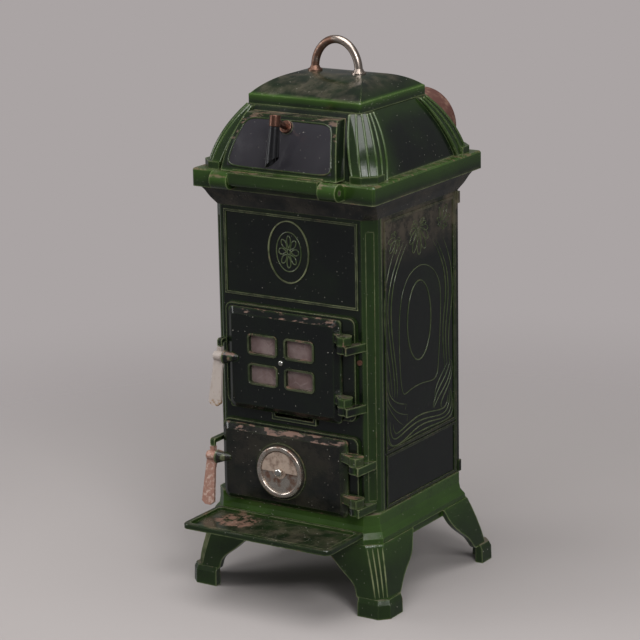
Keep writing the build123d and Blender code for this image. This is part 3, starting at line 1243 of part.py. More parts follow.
def air_hole(angle, y0, length):
    """One sector-shaped air hole about the regulator's axis."""
    a = radians(REG_HOLE_DEG / 2)
    middle = radians(angle)
    plane = Plane(origin=(REG_X, y0, REG_Z), x_dir=(cos(middle), 0, sin(middle)), z_dir=(0, 1, 0))
    inner = [(REG_HOLE_IN * cos(t), REG_HOLE_IN * sin(t)) for t in (-a, 0, a)]
    outer = [(REG_HOLE_OUT * cos(t), REG_HOLE_OUT * sin(t)) for t in (a, 0, -a)]
    edges = [ThreePointArc(*inner), Line(inner[2], outer[0]), ThreePointArc(*outer), Line(outer[2], inner[0])]
    return extrude(plane * make_face(Wire(edges)), amount=length)


def regulator_front():
    """Y of the seat that the regulator's ring lies on."""
    return -DOOR_FACE - REG_BOSS_HIGH


def regulator_ring():
    """Bright ring of the air regulator with its fixed lower half plate."""
    y1 = regulator_front()
    ring_part = ring((REG_X, y1 - REG_RING_HIGH, REG_Z), (0, 1, 0), REG_RING_HIGH, REG_R, REG_INNER_R)
    ring_part = fillet(ring_part.edges().group_by(Axis.Y)[0], 2.6)
    plate = rod((REG_X, y1 - REG_PLATE, REG_Z), (0, 1, 0), REG_PLATE, REG_INNER_R + 1)
    upper = box(REG_X - REG_R, REG_X + REG_R, y1 - REG_RING_HIGH, y1 + 1, REG_Z, REG_Z + REG_R)
    hub = rod((REG_X, y1 - REG_PLATE, REG_Z), (0, 1, 0), REG_PLATE, REG_HUB_R)
    whole = ring_part + (plate - upper) + hub
    start = (REG_X, y1 - REG_RING_HIGH, REG_Z)
    return whole - rod(start, (0, 1, 0), REG_RING_HIGH + 1, REG_BOLT_R + SEAT_FIT)


def regulator_flap():
    """Half round plate that turns over the air holes."""
    y1 = regulator_front() - REG_PLATE - REG_GAP
    flap = rod((REG_X, y1 - REG_FLAP, REG_Z), (0, 1, 0), REG_FLAP, REG_FLAP_R)
    flap = flap - box(REG_X - REG_R, REG_X + REG_R, y1 - REG_FLAP - 1, y1 + 1, REG_Z - REG_R, REG_Z)
    flap = flap + rod((REG_X, y1 - REG_FLAP, REG_Z), (0, 1, 0), REG_FLAP, REG_HUB_R)
    return flap - rod((REG_X, y1 - REG_FLAP - 1, REG_Z), (0, 1, 0), REG_FLAP + 2, REG_BOLT_R + RUNNING_FIT)


def regulator_bolt():
    """Bolt that the flap turns on, with a round knob as its head."""
    y1 = regulator_front() - REG_PLATE - 2 * REG_GAP - REG_FLAP
    shank = rod((REG_X, y1, REG_Z), (0, 1, 0), -DOOR_FACE - y1 + DOOR_PLATE + NUT_HIGH - 2, REG_BOLT_R)
    knob = rod((REG_X, y1 - REG_KNOB_LONG, REG_Z), (0, 1, 0), REG_KNOB_LONG, REG_KNOB_R)
    return shank + fillet(knob.edges().sort_by(Axis.Y)[0], REG_KNOB_LONG * 0.6)


def regulator_nut():
    """Nut behind the ash door."""
    y0 = -DOOR_FACE + DOOR_PLATE
    nut = hexagon((REG_X, y0, REG_Z), (0, 1, 0), NUT_HIGH - 2, NUT_FLATS)
    return nut - rod((REG_X, y0 - 1, REG_Z), (0, 1, 0), NUT_HIGH, REG_BOLT_R + SEAT_FIT)


def hinge_pins(axis_x, knuckles):
    """Two pins that stand in the frame lugs and reach up through the knuckles."""
    group = []
    for z0 in knuckles:
        low = z0 - HINGE_GAP - KNUCKLE_HIGH
        pin = rod((axis_x, HINGE_Y, low), (0, 0, 1), 2 * KNUCKLE_HIGH + HINGE_GAP, HINGE_PIN_R)
        group.append(pin)
    return Compound(group)


# ---------------------------------------------------------------- latches
def hub_end(boss_x):
    """X of a lever hub's outer end."""
    return boss_x - LATCH_GAP - HUB_LENGTH


def nose_x(boss_x):
    """Middle of a lever's nose and of the catch over it."""
    return boss_x - LATCH_GAP - HUB_LENGTH / 2 - 3


def latch_pin(boss_x, z):
    """Pin driven into the boss, which the lever's hub turns on."""
    start = hub_end(boss_x) + 1.5
    return rod((start, LATCH_Y, z), (1, 0, 0), boss_x - start + BOSS_LENGTH * 0.55 - 0.5, LATCH_PIN_R)


def latch_lever(boss_x, z):
    """Lever: a hub on the pin, a leaning flat grip below it and a short nose above."""
    x1 = boss_x - LATCH_GAP
    x0 = hub_end(boss_x)
    hub = rod((x0, LATCH_Y, z), (1, 0, 0), HUB_LENGTH, HUB_R)
    middle = x0 + GRIP_TOP_WIDE / 2
    lean = radians(GRIP_LEAN)
    down = Vector(0, -sin(lean), -cos(lean))
    out = Vector(0, -cos(lean), sin(lean))
    plane = Plane(origin=Vector(middle, LATCH_Y, z) - out * (GRIP_THICK / 2), x_dir=(1, 0, 0), z_dir=out)
    side = 1 if plane.y_dir.dot(down) > 0 else -1
    top = GRIP_TOP_WIDE / 2
    end = GRIP_END_WIDE / 2
    low = side * (GRIP_LENGTH - GRIP_POINT)
    tip = side * GRIP_LENGTH
    points = [(-top, -side * HUB_R), (top, -side * HUB_R), (end, low), (end * 0.4, tip),
              (-end * 0.4, tip), (-end, low)]
    grip = extrude(plane * make_face(Polyline(*points, close=True)), amount=GRIP_THICK)
    web_points = [(0, 0), (x1 - middle, 0), (x1 - middle, side * HUB_R), (top, side * HUB_R * 4)]
    web = extrude(plane * make_face(Polyline(*web_points, close=True)), amount=GRIP_THICK)
    nose_mid = nose_x(boss_x)
    nose = box(nose_mid - CATCH_WIDE / 2 + 0.5, nose_mid + CATCH_WIDE / 2 - 0.5, LATCH_Y + NOSE_START,
               LATCH_Y + NOSE_START + NOSE_THICK, z - HUB_R / 2, z + NOSE_HIGH)
    lever = one(hub, grip, web, nose)
    return lever - rod((x0 + 1.5, LATCH_Y, z), (1, 0, 0), HUB_LENGTH + 2, LATCH_PIN_R + RUNNING_FIT)


# ---------------------------------------------------------------- inside
def rod_places():
    """Where the four tie rods stand."""
    return [(sx * ROD_X, y) for sx in (-1, 1) for y in (-ROD_FRONT, ROD_BACK)]


def tie_rods():
    """Four threaded rods that clamp cornice, plates and base together."""
    low = PLINTH_TOP - BASE_FLOOR - NUT_HIGH - 2
    high = CORNICE_TOP + NUT_HIGH + 2
    return Compound([rod((x, y, low), (0, 0, 1), high - low, ROD_R) for x, y in rod_places()])


def tie_nuts():
    """Nuts on both ends of the tie rods."""
    group = []
    for x, y in rod_places():
        for z in (PLINTH_TOP - BASE_FLOOR - NUT_HIGH, CORNICE_TOP):
            nut = hexagon((x, y, z), (0, 0, 1), NUT_HIGH, NUT_FLATS)
            group.append(nut - rod((x, y, z - 1), (0, 0, 1), NUT_HIGH + 2, ROD_R + SEAT_FIT))
    return Compound(group)


def rod_clearance(z0, z1):
    """Holes for the tie rods through an inner plate."""
    return [rod((x, y, z0), (0, 0, 1), z1 - z0, ROD_R + 1.5) for x, y in rod_places()]


def grate_plate():
    """Iron plate on the side ledges that carries the grate and the bricks."""
    z1 = GRATE_TOP
    z0 = z1 - GRATE_PLATE
    plate = slab(INNER_SIDE - 1, -INNER_FRONT - 6, INNER_BACK - 2, INNER_CORNER, z0, z1)
    room = GRATE_HALF_X + GRATE_TRAVEL + 2
    plate = plate - box(-room, room, -GRATE_HALF_Y - 1, GRATE_HALF_Y + 1, z0 + GRATE_SEAT, z1 + 1)
    inner = GRATE_HALF_X - GRATE_TRAVEL - 6
    plate = plate - box(-inner, inner, -GRATE_HALF_Y + 8, GRATE_HALF_Y - 8, z0 - 1, z1)
    for hole in rod_clearance(z0 - 1, z1 + 1):
        plate = plate - hole
    return plate


def grate():
    """Barred grate with a front tongue that a poker shakes through the slot."""
    z0 = GRATE_Z
    z1 = z0 + GRATE_THICK
    body = box(-GRATE_HALF_X, GRATE_HALF_X, -GRATE_HALF_Y, GRATE_HALF_Y, z0, z1)
    pitch = 2 * (GRATE_HALF_X - GRATE_BORDER) / GRATE_SLOTS
    for index in range(GRATE_SLOTS):
        x = -GRATE_HALF_X + GRATE_BORDER + pitch * (index + 0.5)
        half = GRATE_SLOT_WIDE / 2
        body = body - box(x - half, x + half, -GRATE_HALF_Y + GRATE_BORDER, GRATE_HALF_Y - GRATE_BORDER,
                          z0 - 1, z1 + 1)
    middle = (SLOT_HOLE[0] + SLOT_HOLE[1]) / 2
    end = INNER_FRONT + 1.5
    low = GRATE_TOP + GRATE_LIFT
    left, right = middle - TONGUE_WIDE / 2, middle + TONGUE_WIDE / 2
    tongue = box(left, right, end, -GRATE_HALF_Y + 2, low, z1)
    tip = box(left, right, end, end + TIP_THICK, low, SLOT_HOLE[3] - 1)
    return body + tongue + tip


def brick(x0, x1, y0, y1):
    """A fire brick standing on the grate plate."""
    block = box(x0, x1, y0, y1, GRATE_TOP, BRICK_TOP)
    return chamfer(block.edges().filter_by(Axis.Z), 2.0)


def firebrick_side(side):
    """Brick against a side plate."""
    outer = INNER_SIDE - BRICK_GAP
    xs = sorted((side * (outer - BRICK_THICK), side * outer))
    return brick(xs[0], xs[1], -BRICK_FRONT, BRICK_BACK - BRICK_GAP)


def firebrick_back():
    """Brick against the back plate, between the rods."""
    half = ROD_X - ROD_R - 4
    return brick(-half, half, BRICK_BACK, INNER_BACK - BRICK_GAP)


def baffle():
    """Plate that sends the smoke forward before it reaches the hood."""
    top = BAFFLE_Z + BAFFLE_THICK
    plate = slab(INNER_SIDE - 1, BAFFLE_FRONT, INNER_BACK - 1, INNER_CORNER, BAFFLE_Z, top)
    for hole in rod_clearance(BAFFLE_Z - 1, top + 1):
        plate = plate - hole
    return plate


def ash_pan():
    """Sheet pan on its runners, with a strip handle in front."""
    x0, x1 = PAN_X - PAN_HALF, PAN_X + PAN_HALF
    z1 = PAN_Z + PAN_HIGH
    pan = box(x0, x1, -PAN_FRONT, PAN_BACK, PAN_Z, z1)
    pan = pan - box(x0 + PAN_SHEET, x1 - PAN_SHEET, -PAN_FRONT + PAN_SHEET, PAN_BACK - PAN_SHEET,
                    PAN_Z + PAN_SHEET, z1 + 1)
    zh = PAN_Z + PAN_HANDLE_UP
    half, strip = PAN_HANDLE_HALF, PAN_STRIP
    out = -PAN_FRONT - PAN_HANDLE_OUT
    grip = box(PAN_X - half, PAN_X + half, out, -PAN_FRONT + 1, zh, zh + PAN_HANDLE_HIGH)
    gap = box(PAN_X - half + strip, PAN_X + half - strip, out + strip, -PAN_FRONT,
              zh - 1, zh + PAN_HANDLE_HIGH + 1)
    return pan + (grip - gap)


def frame_screw():
    """Slotted screw at the right of the fuel opening."""
    x, z = FRAME_SCREW
    face = GROUND_FRONT - SCREW_HEAD
    shank = rod((x, GROUND_FRONT, z), (0, 1, 0), PLATE + 3, SCREW_R)
    head = rod((x, face, z), (0, 1, 0), SCREW_HEAD, SCREW_HEAD_R)
    slot = box(x - SCREW_HEAD_R, x + SCREW_HEAD_R, face - 1, face + 1, z - 0.6, z + 0.6)
    return shank + head - slot


NODES = {
    "base_casting": base_casting,
    "hearth_tray": tray,
    "hearth_tray_screws": tray_bolts,
    "front_plate": front_plate,
    "side_plate_left": lambda: side_plate(-1),
    "side_plate_right": lambda: side_plate(1),
    "back_plate": back_plate,
    "cornice": cornice,
    "hood_front": lambda: hood_plate(0),
    "hood_back": lambda: hood_plate(180),
    "hood_left": lambda: hood_side(-1),
    "hood_right": lambda: hood_side(1),
    "hood_corner_front_left": lambda: hood_corner(-1, -1),
    "hood_corner_front_right": lambda: hood_corner(1, -1),
    "hood_corner_back_left": lambda: hood_corner(-1, 1),
    "hood_corner_back_right": lambda: hood_corner(1, 1),
    "hood_screws": hood_screws,
    "flue_sleeve": flue_sleeve,
    "flue_collar": flue_collar,
    "flue_collar_screws": flue_collar_screws,
    "hood_door_hinge_pins": hood_door_hinge_pins,
    "hood_door": hood_door,
    "hood_latch_stem": hood_latch_stem,
    "hood_latch_tongue": hood_latch_tongue,
    "hood_latch_nut": hood_latch_nut,
    "hood_latch_handle": hood_latch_handle,
    "lid": lid,
    "lid_rim": lid_rim,
    "lid_handle": lid_handle,
    "lid_handle_nuts": lid_handle_nuts,
    "fire_door_hinge_pins": lambda: hinge_pins(FIRE_HINGE_X, FIRE_KNUCKLES),
    "fire_door": fire_door,
    "mica_sheet": mica_sheet,
    "mica_retainer": mica_retainer,
    "mica_bolt": mica_bolt,
    "mica_nut": mica_nut,
    "fire_latch_pin": lambda: latch_pin(FIRE_BOSS_X, FIRE_LATCH_Z),
    "fire_latch_lever": lambda: latch_lever(FIRE_BOSS_X, FIRE_LATCH_Z),
    "ash_door_hinge_pins": lambda: hinge_pins(ASH_HINGE_X, ASH_KNUCKLES),
    "ash_door": ash_door,
    "regulator_ring": regulator_ring,
    "regulator_flap": regulator_flap,
    "regulator_bolt": regulator_bolt,
    "regulator_nut": regulator_nut,
    "ash_latch_pin": lambda: latch_pin(ASH_BOSS_X, ASH_LATCH_Z),
    "ash_latch_lever": lambda: latch_lever(ASH_BOSS_X, ASH_LATCH_Z),
    "frame_screw": frame_screw,
    "tie_rods": tie_rods,
    "tie_rod_nuts": tie_nuts,
    "grate_plate": grate_plate,
    "grate": grate,
    "firebrick_left": lambda: firebrick_side(-1),
    "firebrick_right": lambda: firebrick_side(1),
    "firebrick_back": firebrick_back,
    "baffle_plate": baffle,
    "ash_pan": ash_pan,
}


def placed(piece):
    """The piece in the written frame, as one solid or a group of solids."""
    solids = [Pos(0, SHIFT_Y, 0) * solid for solid in piece.solids()]
    return solids[0] if len(solids) == 1 else Compound(solids)


os.makedirs("parts", exist_ok=True)
for node, make in NODES.items():
    export_step(placed(make()), f"parts/{node}.step")
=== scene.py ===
import bpy
import bmesh
import math
from mathutils import Matrix, Vector


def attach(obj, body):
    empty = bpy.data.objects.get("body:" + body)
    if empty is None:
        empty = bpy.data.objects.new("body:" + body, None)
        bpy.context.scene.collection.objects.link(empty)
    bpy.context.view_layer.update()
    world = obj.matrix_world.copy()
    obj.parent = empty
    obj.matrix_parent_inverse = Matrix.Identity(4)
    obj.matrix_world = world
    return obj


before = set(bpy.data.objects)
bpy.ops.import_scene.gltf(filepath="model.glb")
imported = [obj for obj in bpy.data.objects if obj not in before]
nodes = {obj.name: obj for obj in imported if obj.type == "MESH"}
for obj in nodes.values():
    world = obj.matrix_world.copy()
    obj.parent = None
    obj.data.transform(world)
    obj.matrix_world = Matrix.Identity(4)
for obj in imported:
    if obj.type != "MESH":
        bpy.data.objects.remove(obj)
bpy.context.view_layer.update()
shiftY = -0.0025  # the drawing's axis against the written one
print("frame loaded")

# node helpers


def startMaterial(name):
    material = bpy.data.materials.new(name)
    material.use_nodes = True
    return material, material.node_tree, material.node_tree.nodes["Principled BSDF"]


def put(tree, kind, inputs=None, **options):
    node = tree.nodes.new(kind)
    for key, value in options.items():
        setattr(node, key, value)
    for key, value in (inputs or {}).items():
        plug(tree, node.inputs[key], value)
    return node


def plug(tree, socket, value):
    if isinstance(value, bpy.types.NodeSocket):
        tree.links.new(value, socket)
    else:
        socket.default_value = value


def calc(tree, operation, a, b=0.0, clamp=False):
    return put(tree, "ShaderNodeMath", {0: a, 1: b}, operation=operation, use_clamp=clamp).outputs[0]


def remap(tree, value, low, high, top=1.0):
    inputs = {"Value": value, "From Min": low, "From Max": high, "To Max": top}
    return put(tree, "ShaderNodeMapRange", inputs, interpolation_type="SMOOTHSTEP").outputs["Result"]


def blend(tree, factor, a, b):
    node = put(tree, "ShaderNodeMix", {0: factor}, data_type="RGBA")
    for index, value in ((6, a), (7, b)):
        plug(tree, node.inputs[index], (*value, 1.0) if isinstance(value, tuple) else value)
    return node.outputs[2]


def noise(tree, place, scale, detail=3.0, rough=0.55):
    inputs = {"Vector": place, "Scale": scale, "Detail": detail, "Roughness": rough}
    return put(tree, "ShaderNodeTexNoise", inputs).outputs["Fac"]


def clouds(tree, place, scale, detail, rough, low, high, top=1.0):
    return remap(tree, noise(tree, place, scale, detail, rough), low, high, top)


def spots(tree, place, scale, size, share):
    core = 0.6  # share of a spot's radius at full strength
    cells = put(tree, "ShaderNodeTexVoronoi", {"Vector": place, "Scale": scale})
    inside = remap(tree, cells.outputs["Distance"], size, size * core)
    chosen = put(tree, "ShaderNodeSeparateColor", {0: cells.outputs["Color"]}).outputs[0]
    return calc(tree, "MULTIPLY", inside, calc(tree, "LESS_THAN", chosen, share))


def bumped(tree, height, strength, distance, before=None):
    inputs = {"Height": height, "Strength": strength, "Distance": distance}
    if before:
        inputs["Normal"] = before
    return put(tree, "ShaderNodeBump", inputs).outputs["Normal"]


def places(tree):
    place = put(tree, "ShaderNodeTexCoord").outputs["Object"]
    return place, put(tree, "ShaderNodeSeparateXYZ", {0: place}).outputs


def facingUp(tree):
    normal = put(tree, "ShaderNodeNewGeometry").outputs["Normal"]
    return put(tree, "ShaderNodeSeparateXYZ", {0: normal}).outputs[2]


# vitreous enamel

enamelColours = {
    "deep": (0.0050, 0.0062, 0.0060),
    "green": (0.0200, 0.0430, 0.0085),
    "leaf": (0.0440, 0.0980, 0.0150),
    # the pale edge colour along convex edges and beads is partly painted highlight, where rounded edges catch
    # the light, over the enamel's paler edge lines
    "edge": (0.2300, 0.2500, 0.1350),
    "primer": (0.2300, 0.1250, 0.0900),
    "dust": (0.1700, 0.1350, 0.0950),
    "fleck": (0.5500, 0.5200, 0.4500),
}

# a zone's last number is the green it adds, or takes if negative, from its first place to its second;
# a smudge is dust that sets in between two heights
enamelLooks = {
    "front": {"green": 0.06, "edges": 0.85, "chips": 0.30, "dust": 0.45, "flecks": 0.5,
              "zones": [("absX", 0.134, 0.142, 0.30)]},
    "sides": {"green": 0.04, "edges": 0.40, "chips": 0.25, "dust": 0.45, "flecks": 0.7,
              "zones": [("z", 0.60, 0.70, 0.06)], "smudge": (0.575, 0.655, 0.8)},
    "doors": {"green": 0.05, "edges": 0.50, "chips": 0.90, "dust": 0.60, "flecks": 0.8, "topWear": 0.70,
              "zones": [("x", 0.100, 0.118, 0.35)], "smudge": (0.325, 0.305, 0.125)},
    "crown": {"green": 0.72, "edges": 0.85, "chips": 0.75, "dust": 0.45, "flecks": 0.5, "topWear": 0.35,
              # on the cornice the zones that take green make it darker towards its foot and underside:
              # painted shade
              "zones": [("z", 0.734, 0.708, -0.50), ("z", 0.709, 0.700, -0.60)],
              "smudge": (0.716, 0.708, 0.25)},
    "hood": {"green": 0.12, "edges": 0.60, "chips": 0.35, "dust": 0.10, "flecks": 0.6,
             "zones": [("z", 0.775, 0.745, 0.10)]},
    "hoodSides": {"green": 0.10, "edges": 0.60, "chips": 0.35, "dust": 0.10, "flecks": 0.6,
                  "zones": [("y", -0.050, -0.125, 0.38), ("z", 0.806, 0.838, 0.22)]},
    "corners": {"green": 0.26, "edges": 0.60, "chips": 0.35, "dust": 0.20, "flecks": 0.3,
                "zones": [("z", 0.785, 0.750, 0.12)]},
    "hoodDoor": {"green": 0.16, "edges": 0.70, "chips": 0.50, "dust": 0.45, "flecks": 0.5, "topWear": 0.40,
                 "zones": [("z", 0.752, 0.744, 0.25)],
                 # the panel's lighter grey-violet is painted reflection of the pale backdrop on the door's
                 # tilted glossy enamel
                 "panel": {"colour": (0.0260, 0.0245, 0.0290), "low": 0.753, "high": 0.829,
                           "half": (0.1028, -0.0102, -0.0100),  # half width at the foot, its slope and bow
                           "blur": (0.0006, 0.0008)}},  # at foot and top, and at the sides
    "lid": {"green": 0.18, "edges": 0.95, "chips": 0.70, "dust": 0.30, "flecks": 1.0,
            # on the lid the band is greener along its top and darker towards its foot: painted light at the
            # top, painted shade at the foot
            "zones": [("z", 0.864, 0.859, 0.62), ("z", 0.859, 0.846, -0.60), ("absX", 0.095, 0.112, 0.08)]},
    "base": {"green": 0.34, "edges": 0.80, "chips": 0.80, "dust": 1.0, "flecks": 1.0,
             "zones": [("z", 0.070, 0.150, 0.45)]},
    "tray": {"green": 0.22, "edges": 0.60, "chips": 0.90, "dust": 0.30, "flecks": 1.0, "zones": [],
             "rust": {"centre": (-0.085, -0.215, 0.14), "radius": 0.040}},
    # ribs and leg lines take much of the edge colour, so their pale lines are partly painted highlight
    "ribs": {"green": 0.42, "edges": 0.80, "chips": 0.15, "dust": 0.10, "flecks": 0.3, "zones": []},
    "piping": {"green": 0.06, "edges": 0.10, "chips": 0.20, "dust": 0.20, "flecks": 0.3, "zones": []},
    "relief": {"green": 0.12, "edges": 0.30, "chips": 0.10, "dust": 0.40, "flecks": 0.4, "zones": []},
}

# a noise is given as scale, detail, roughness, start, end and most, as far as it has them;
# flecks as scale, size and share of the cells; a range or a facing as start and end
enamelWear = {
    "drift": {"noise": (16.0, 4.0), "green": 0.35, "rust": 0.06},
    "green": {"range": (0.0, 0.62), "leafRange": (0.55, 1.05), "atBends": 0.40},
    "edges": {"width": 0.0028, "range": (0.18, 0.42), "bendRadius": 0.009, "bendRange": (0.01, 0.25),
              "samples": 6,
              "fine": (60.0, 3.0, 0.55, 0.30, 0.55, 0.6), "fineLeast": 0.4,
              "broad": (9.0, 3.0, 0.55, 0.38, 0.62, 0.50), "broadLeast": 0.50},
    "dust": {"facing": (0.60, 0.95), "noise": (42.0, 5.0, 0.55, 0.35, 0.75),
             "smudges": (15.0, 8.0, 0.70, 0.34, 0.70)},
    "chips": {"noise": (38.0, 6.0, 0.65, 0.60, 0.63)},
    "topWear": {"facing": (0.30, 0.55), "noise": (62.0, 6.0, 0.62, 0.53, 0.60), "stretch": (0.4, 1.0, 1.0)},
    "rust": {"noise": (75.0, 6.0, 0.65, 0.42, 0.56), "core": 0.6, "most": 0.8},
    "flecks": {"large": (120.0, 0.13, 0.10), "small": (330.0, 0.20, 0.05), "most": 0.75},
    "gloss": {"haze": (22.0, 5.0, 0.55, 0.40, 0.75, 0.14), "clean": 0.12, "worn": 0.5},
    "waves": {"noise": (26.0, 2.0), "strength": 0.35, "distance": 0.0016},
    "pits": {"noise": (420.0, 2.0), "chipDepth": 2.5, "strength": 0.25, "distance": 0.0003},
}


def zoneValue(tree, axis, coords):
    if axis == "absX":
        return calc(tree, "ABSOLUTE", coords[0])
    return coords["xyz".index(axis)]


def panelReflectionShare(tree, coords, panel):
    endBlur, sideBlur = panel["blur"]
    inputs = {"Value": coords[2], "From Min": panel["low"], "From Max": panel["high"]}
    up = put(tree, "ShaderNodeMapRange", inputs).outputs["Result"]
    start, slope, bow = panel["half"]
    slant = calc(tree, "ADD", calc(tree, "MULTIPLY", up, bow), slope)
    half = put(tree, "ShaderNodeMath", {0: up, 1: slant, 2: start}, operation="MULTIPLY_ADD").outputs[0]
    room = calc(tree, "SUBTRACT", half, calc(tree, "ABSOLUTE", coords[0]))
    above = remap(tree, coords[2], panel["low"] - endBlur, panel["low"] + endBlur)
    below = remap(tree, coords[2], panel["high"] + endBlur, panel["high"] - endBlur)
    upright = calc(tree, "MULTIPLY", above, below)
    return calc(tree, "MULTIPLY", upright, remap(tree, room, -sideBlur, sideBlur))


def edgeMasks(tree):
    edges = enamelWear["edges"]
    inner = put(tree, "ShaderNodeAmbientOcclusion", {"Distance": edges["width"]}, inside=True,
                only_local=True, samples=edges["samples"])
    crisp = remap(tree, calc(tree, "SUBTRACT", 1.0, inner.outputs["AO"]), *edges["range"])
    soft = put(tree, "ShaderNodeBevel", {"Radius": edges["bendRadius"]}, samples=edges["samples"]).outputs[0]
    flat = put(tree, "ShaderNodeNewGeometry").outputs["Normal"]
    turn = put(tree, "ShaderNodeVectorMath", {0: soft, 1: flat}, operation="DOT_PRODUCT").outputs["Value"]
    return crisp, remap(tree, calc(tree, "SUBTRACT", 1.0, turn), *edges["bendRange"])


def greenShare(tree, look, coords, bends, drift):
    share = calc(tree, "ADD", look["green"], calc(tree, "MULTIPLY", drift, enamelWear["drift"]["green"]))
    for axis, start, end, amount in look["zones"]:
        share = calc(tree, "ADD", share, remap(tree, zoneValue(tree, axis, coords), start, end, amount))
    return calc(tree, "ADD", share, calc(tree, "MULTIPLY", bends, enamelWear["green"]["atBends"]), clamp=True)


def edgeLineAndHighlightShare(tree, look, place, crisp):
    edges = enamelWear["edges"]
    fine = calc(tree, "ADD", clouds(tree, place, *edges["fine"]), edges["fineLeast"])
    broad = calc(tree, "ADD", clouds(tree, place, *edges["broad"]), edges["broadLeast"])
    uneven = calc(tree, "MULTIPLY", crisp, calc(tree, "MULTIPLY", fine, broad))
    return calc(tree, "MULTIPLY", uneven, look["edges"])


def dustShare(tree, look, place, coords, up):
    wear = enamelWear["dust"]
    dust = calc(tree, "MULTIPLY", remap(tree, up, *wear["facing"]), clouds(tree, place, *wear["noise"]))
    dust = calc(tree, "MULTIPLY", dust, look["dust"])
    if "smudge" in look:
        low, high, most = look["smudge"]
        patchy = clouds(tree, place, *wear["smudges"])
        smudge = calc(tree, "MULTIPLY", remap(tree, coords[2], low, high), patchy)
        dust = calc(tree, "MAXIMUM", dust, calc(tree, "MULTIPLY", smudge, most))
    return dust


def topWearShare(tree, look, place, up, panel):
    wear = enamelWear["topWear"]
    stretched = put(tree, "ShaderNodeMapping", {"Vector": place, "Scale": wear["stretch"]}).outputs[0]
    torn = clouds(tree, stretched, *wear["noise"], look["topWear"])
    torn = calc(tree, "MULTIPLY", torn, remap(tree, up, *wear["facing"]))
    if panel:
        torn = calc(tree, "MULTIPLY", torn, calc(tree, "SUBTRACT", 1.0, panel))
    return torn


def rustShare(tree, rust, place, drift):
    wear = enamelWear["rust"]
    away = put(tree, "ShaderNodeVectorMath", {0: place, 1: rust["centre"]}, operation="DISTANCE")
    drifted = calc(tree, "MULTIPLY", drift, enamelWear["drift"]["rust"])
    reach = calc(tree, "ADD", away.outputs["Value"], drifted)
    patch = remap(tree, reach, rust["radius"], rust["radius"] * wear["core"], wear["most"])
    return calc(tree, "MULTIPLY", patch, clouds(tree, place, *wear["noise"]))


def chipShare(tree, look, place, crisp, up, panel, drift):
    chips = calc(tree, "MULTIPLY", crisp, clouds(tree, place, *enamelWear["chips"]["noise"]))
    chips = calc(tree, "MULTIPLY", chips, look["chips"], clamp=True)
    if "topWear" in look:
        chips = calc(tree, "MAXIMUM", chips, topWearShare(tree, look, place, up, panel))
    if "rust" in look:
        chips = calc(tree, "MAXIMUM", chips, rustShare(tree, look["rust"], place, drift))
    return chips


def fleckShare(tree, look, place):
    large = calc(tree, "MULTIPLY", spots(tree, place, *enamelWear["flecks"]["large"]), look["flecks"])
    small = calc(tree, "MULTIPLY", spots(tree, place, *enamelWear["flecks"]["small"]), look["flecks"])
    return calc(tree, "MAXIMUM", large, small)


def enamelRoughness(tree, place, worn):
    gloss = enamelWear["gloss"]
    clean = calc(tree, "ADD", clouds(tree, place, *gloss["haze"]), gloss["clean"])
    return calc(tree, "ADD", calc(tree, "MULTIPLY", worn, gloss["worn"]), clean, clamp=True)


def enamelNormal(tree, place, chips):
    waves, pits = enamelWear["waves"], enamelWear["pits"]
    wavy = bumped(tree, noise(tree, place, *waves["noise"]), waves["strength"], waves["distance"])
    height = calc(tree, "SUBTRACT", noise(tree, place, *pits["noise"]),
                  calc(tree, "MULTIPLY", chips, pits["chipDepth"]))
    return bumped(tree, height, pits["strength"], pits["distance"], wavy)


def enamel(name):
    look = enamelLooks[name]
    material, tree, surface = startMaterial("enamel_" + name)
    place, coords = places(tree)
    crisp, bends = edgeMasks(tree)
    up = facingUp(tree)
    drift = calc(tree, "SUBTRACT", noise(tree, place, *enamelWear["drift"]["noise"]), 0.5)
    share = greenShare(tree, look, coords, bends, drift)
    green = enamelWear["green"]
    colour = blend(tree, remap(tree, share, *green["range"]), enamelColours["deep"], enamelColours["green"])
    colour = blend(tree, remap(tree, share, *green["leafRange"]), colour, enamelColours["leaf"])
    panel = None
    # the hood door's panel takes its painted reflection colour here
    if "panel" in look:
        panel = panelReflectionShare(tree, coords, look["panel"])
        colour = blend(tree, panel, colour, look["panel"]["colour"])
    colour = blend(tree, edgeLineAndHighlightShare(tree, look, place, crisp), colour, enamelColours["edge"])
    dust = dustShare(tree, look, place, coords, up)
    colour = blend(tree, dust, colour, enamelColours["dust"])
    chips = chipShare(tree, look, place, crisp, up, panel, drift)
    colour = blend(tree, chips, colour, enamelColours["primer"])
    flecks = fleckShare(tree, look, place)
    fleckMost = enamelWear["flecks"]["most"]
    colour = blend(tree, calc(tree, "MULTIPLY", flecks, fleckMost), colour, enamelColours["fleck"])
    worn = calc(tree, "MAXIMUM", calc(tree, "MAXIMUM", dust, chips), flecks)
    tree.links.new(colour, surface.inputs["Base Color"])
    tree.links.new(enamelRoughness(tree, place, worn), surface.inputs["Roughness"])
    tree.links.new(enamelNormal(tree, place, chips), surface.inputs["Normal"])
    return material


# bare and plated metals; the worn colour sets in where the noise passes "from" and is full at "to"

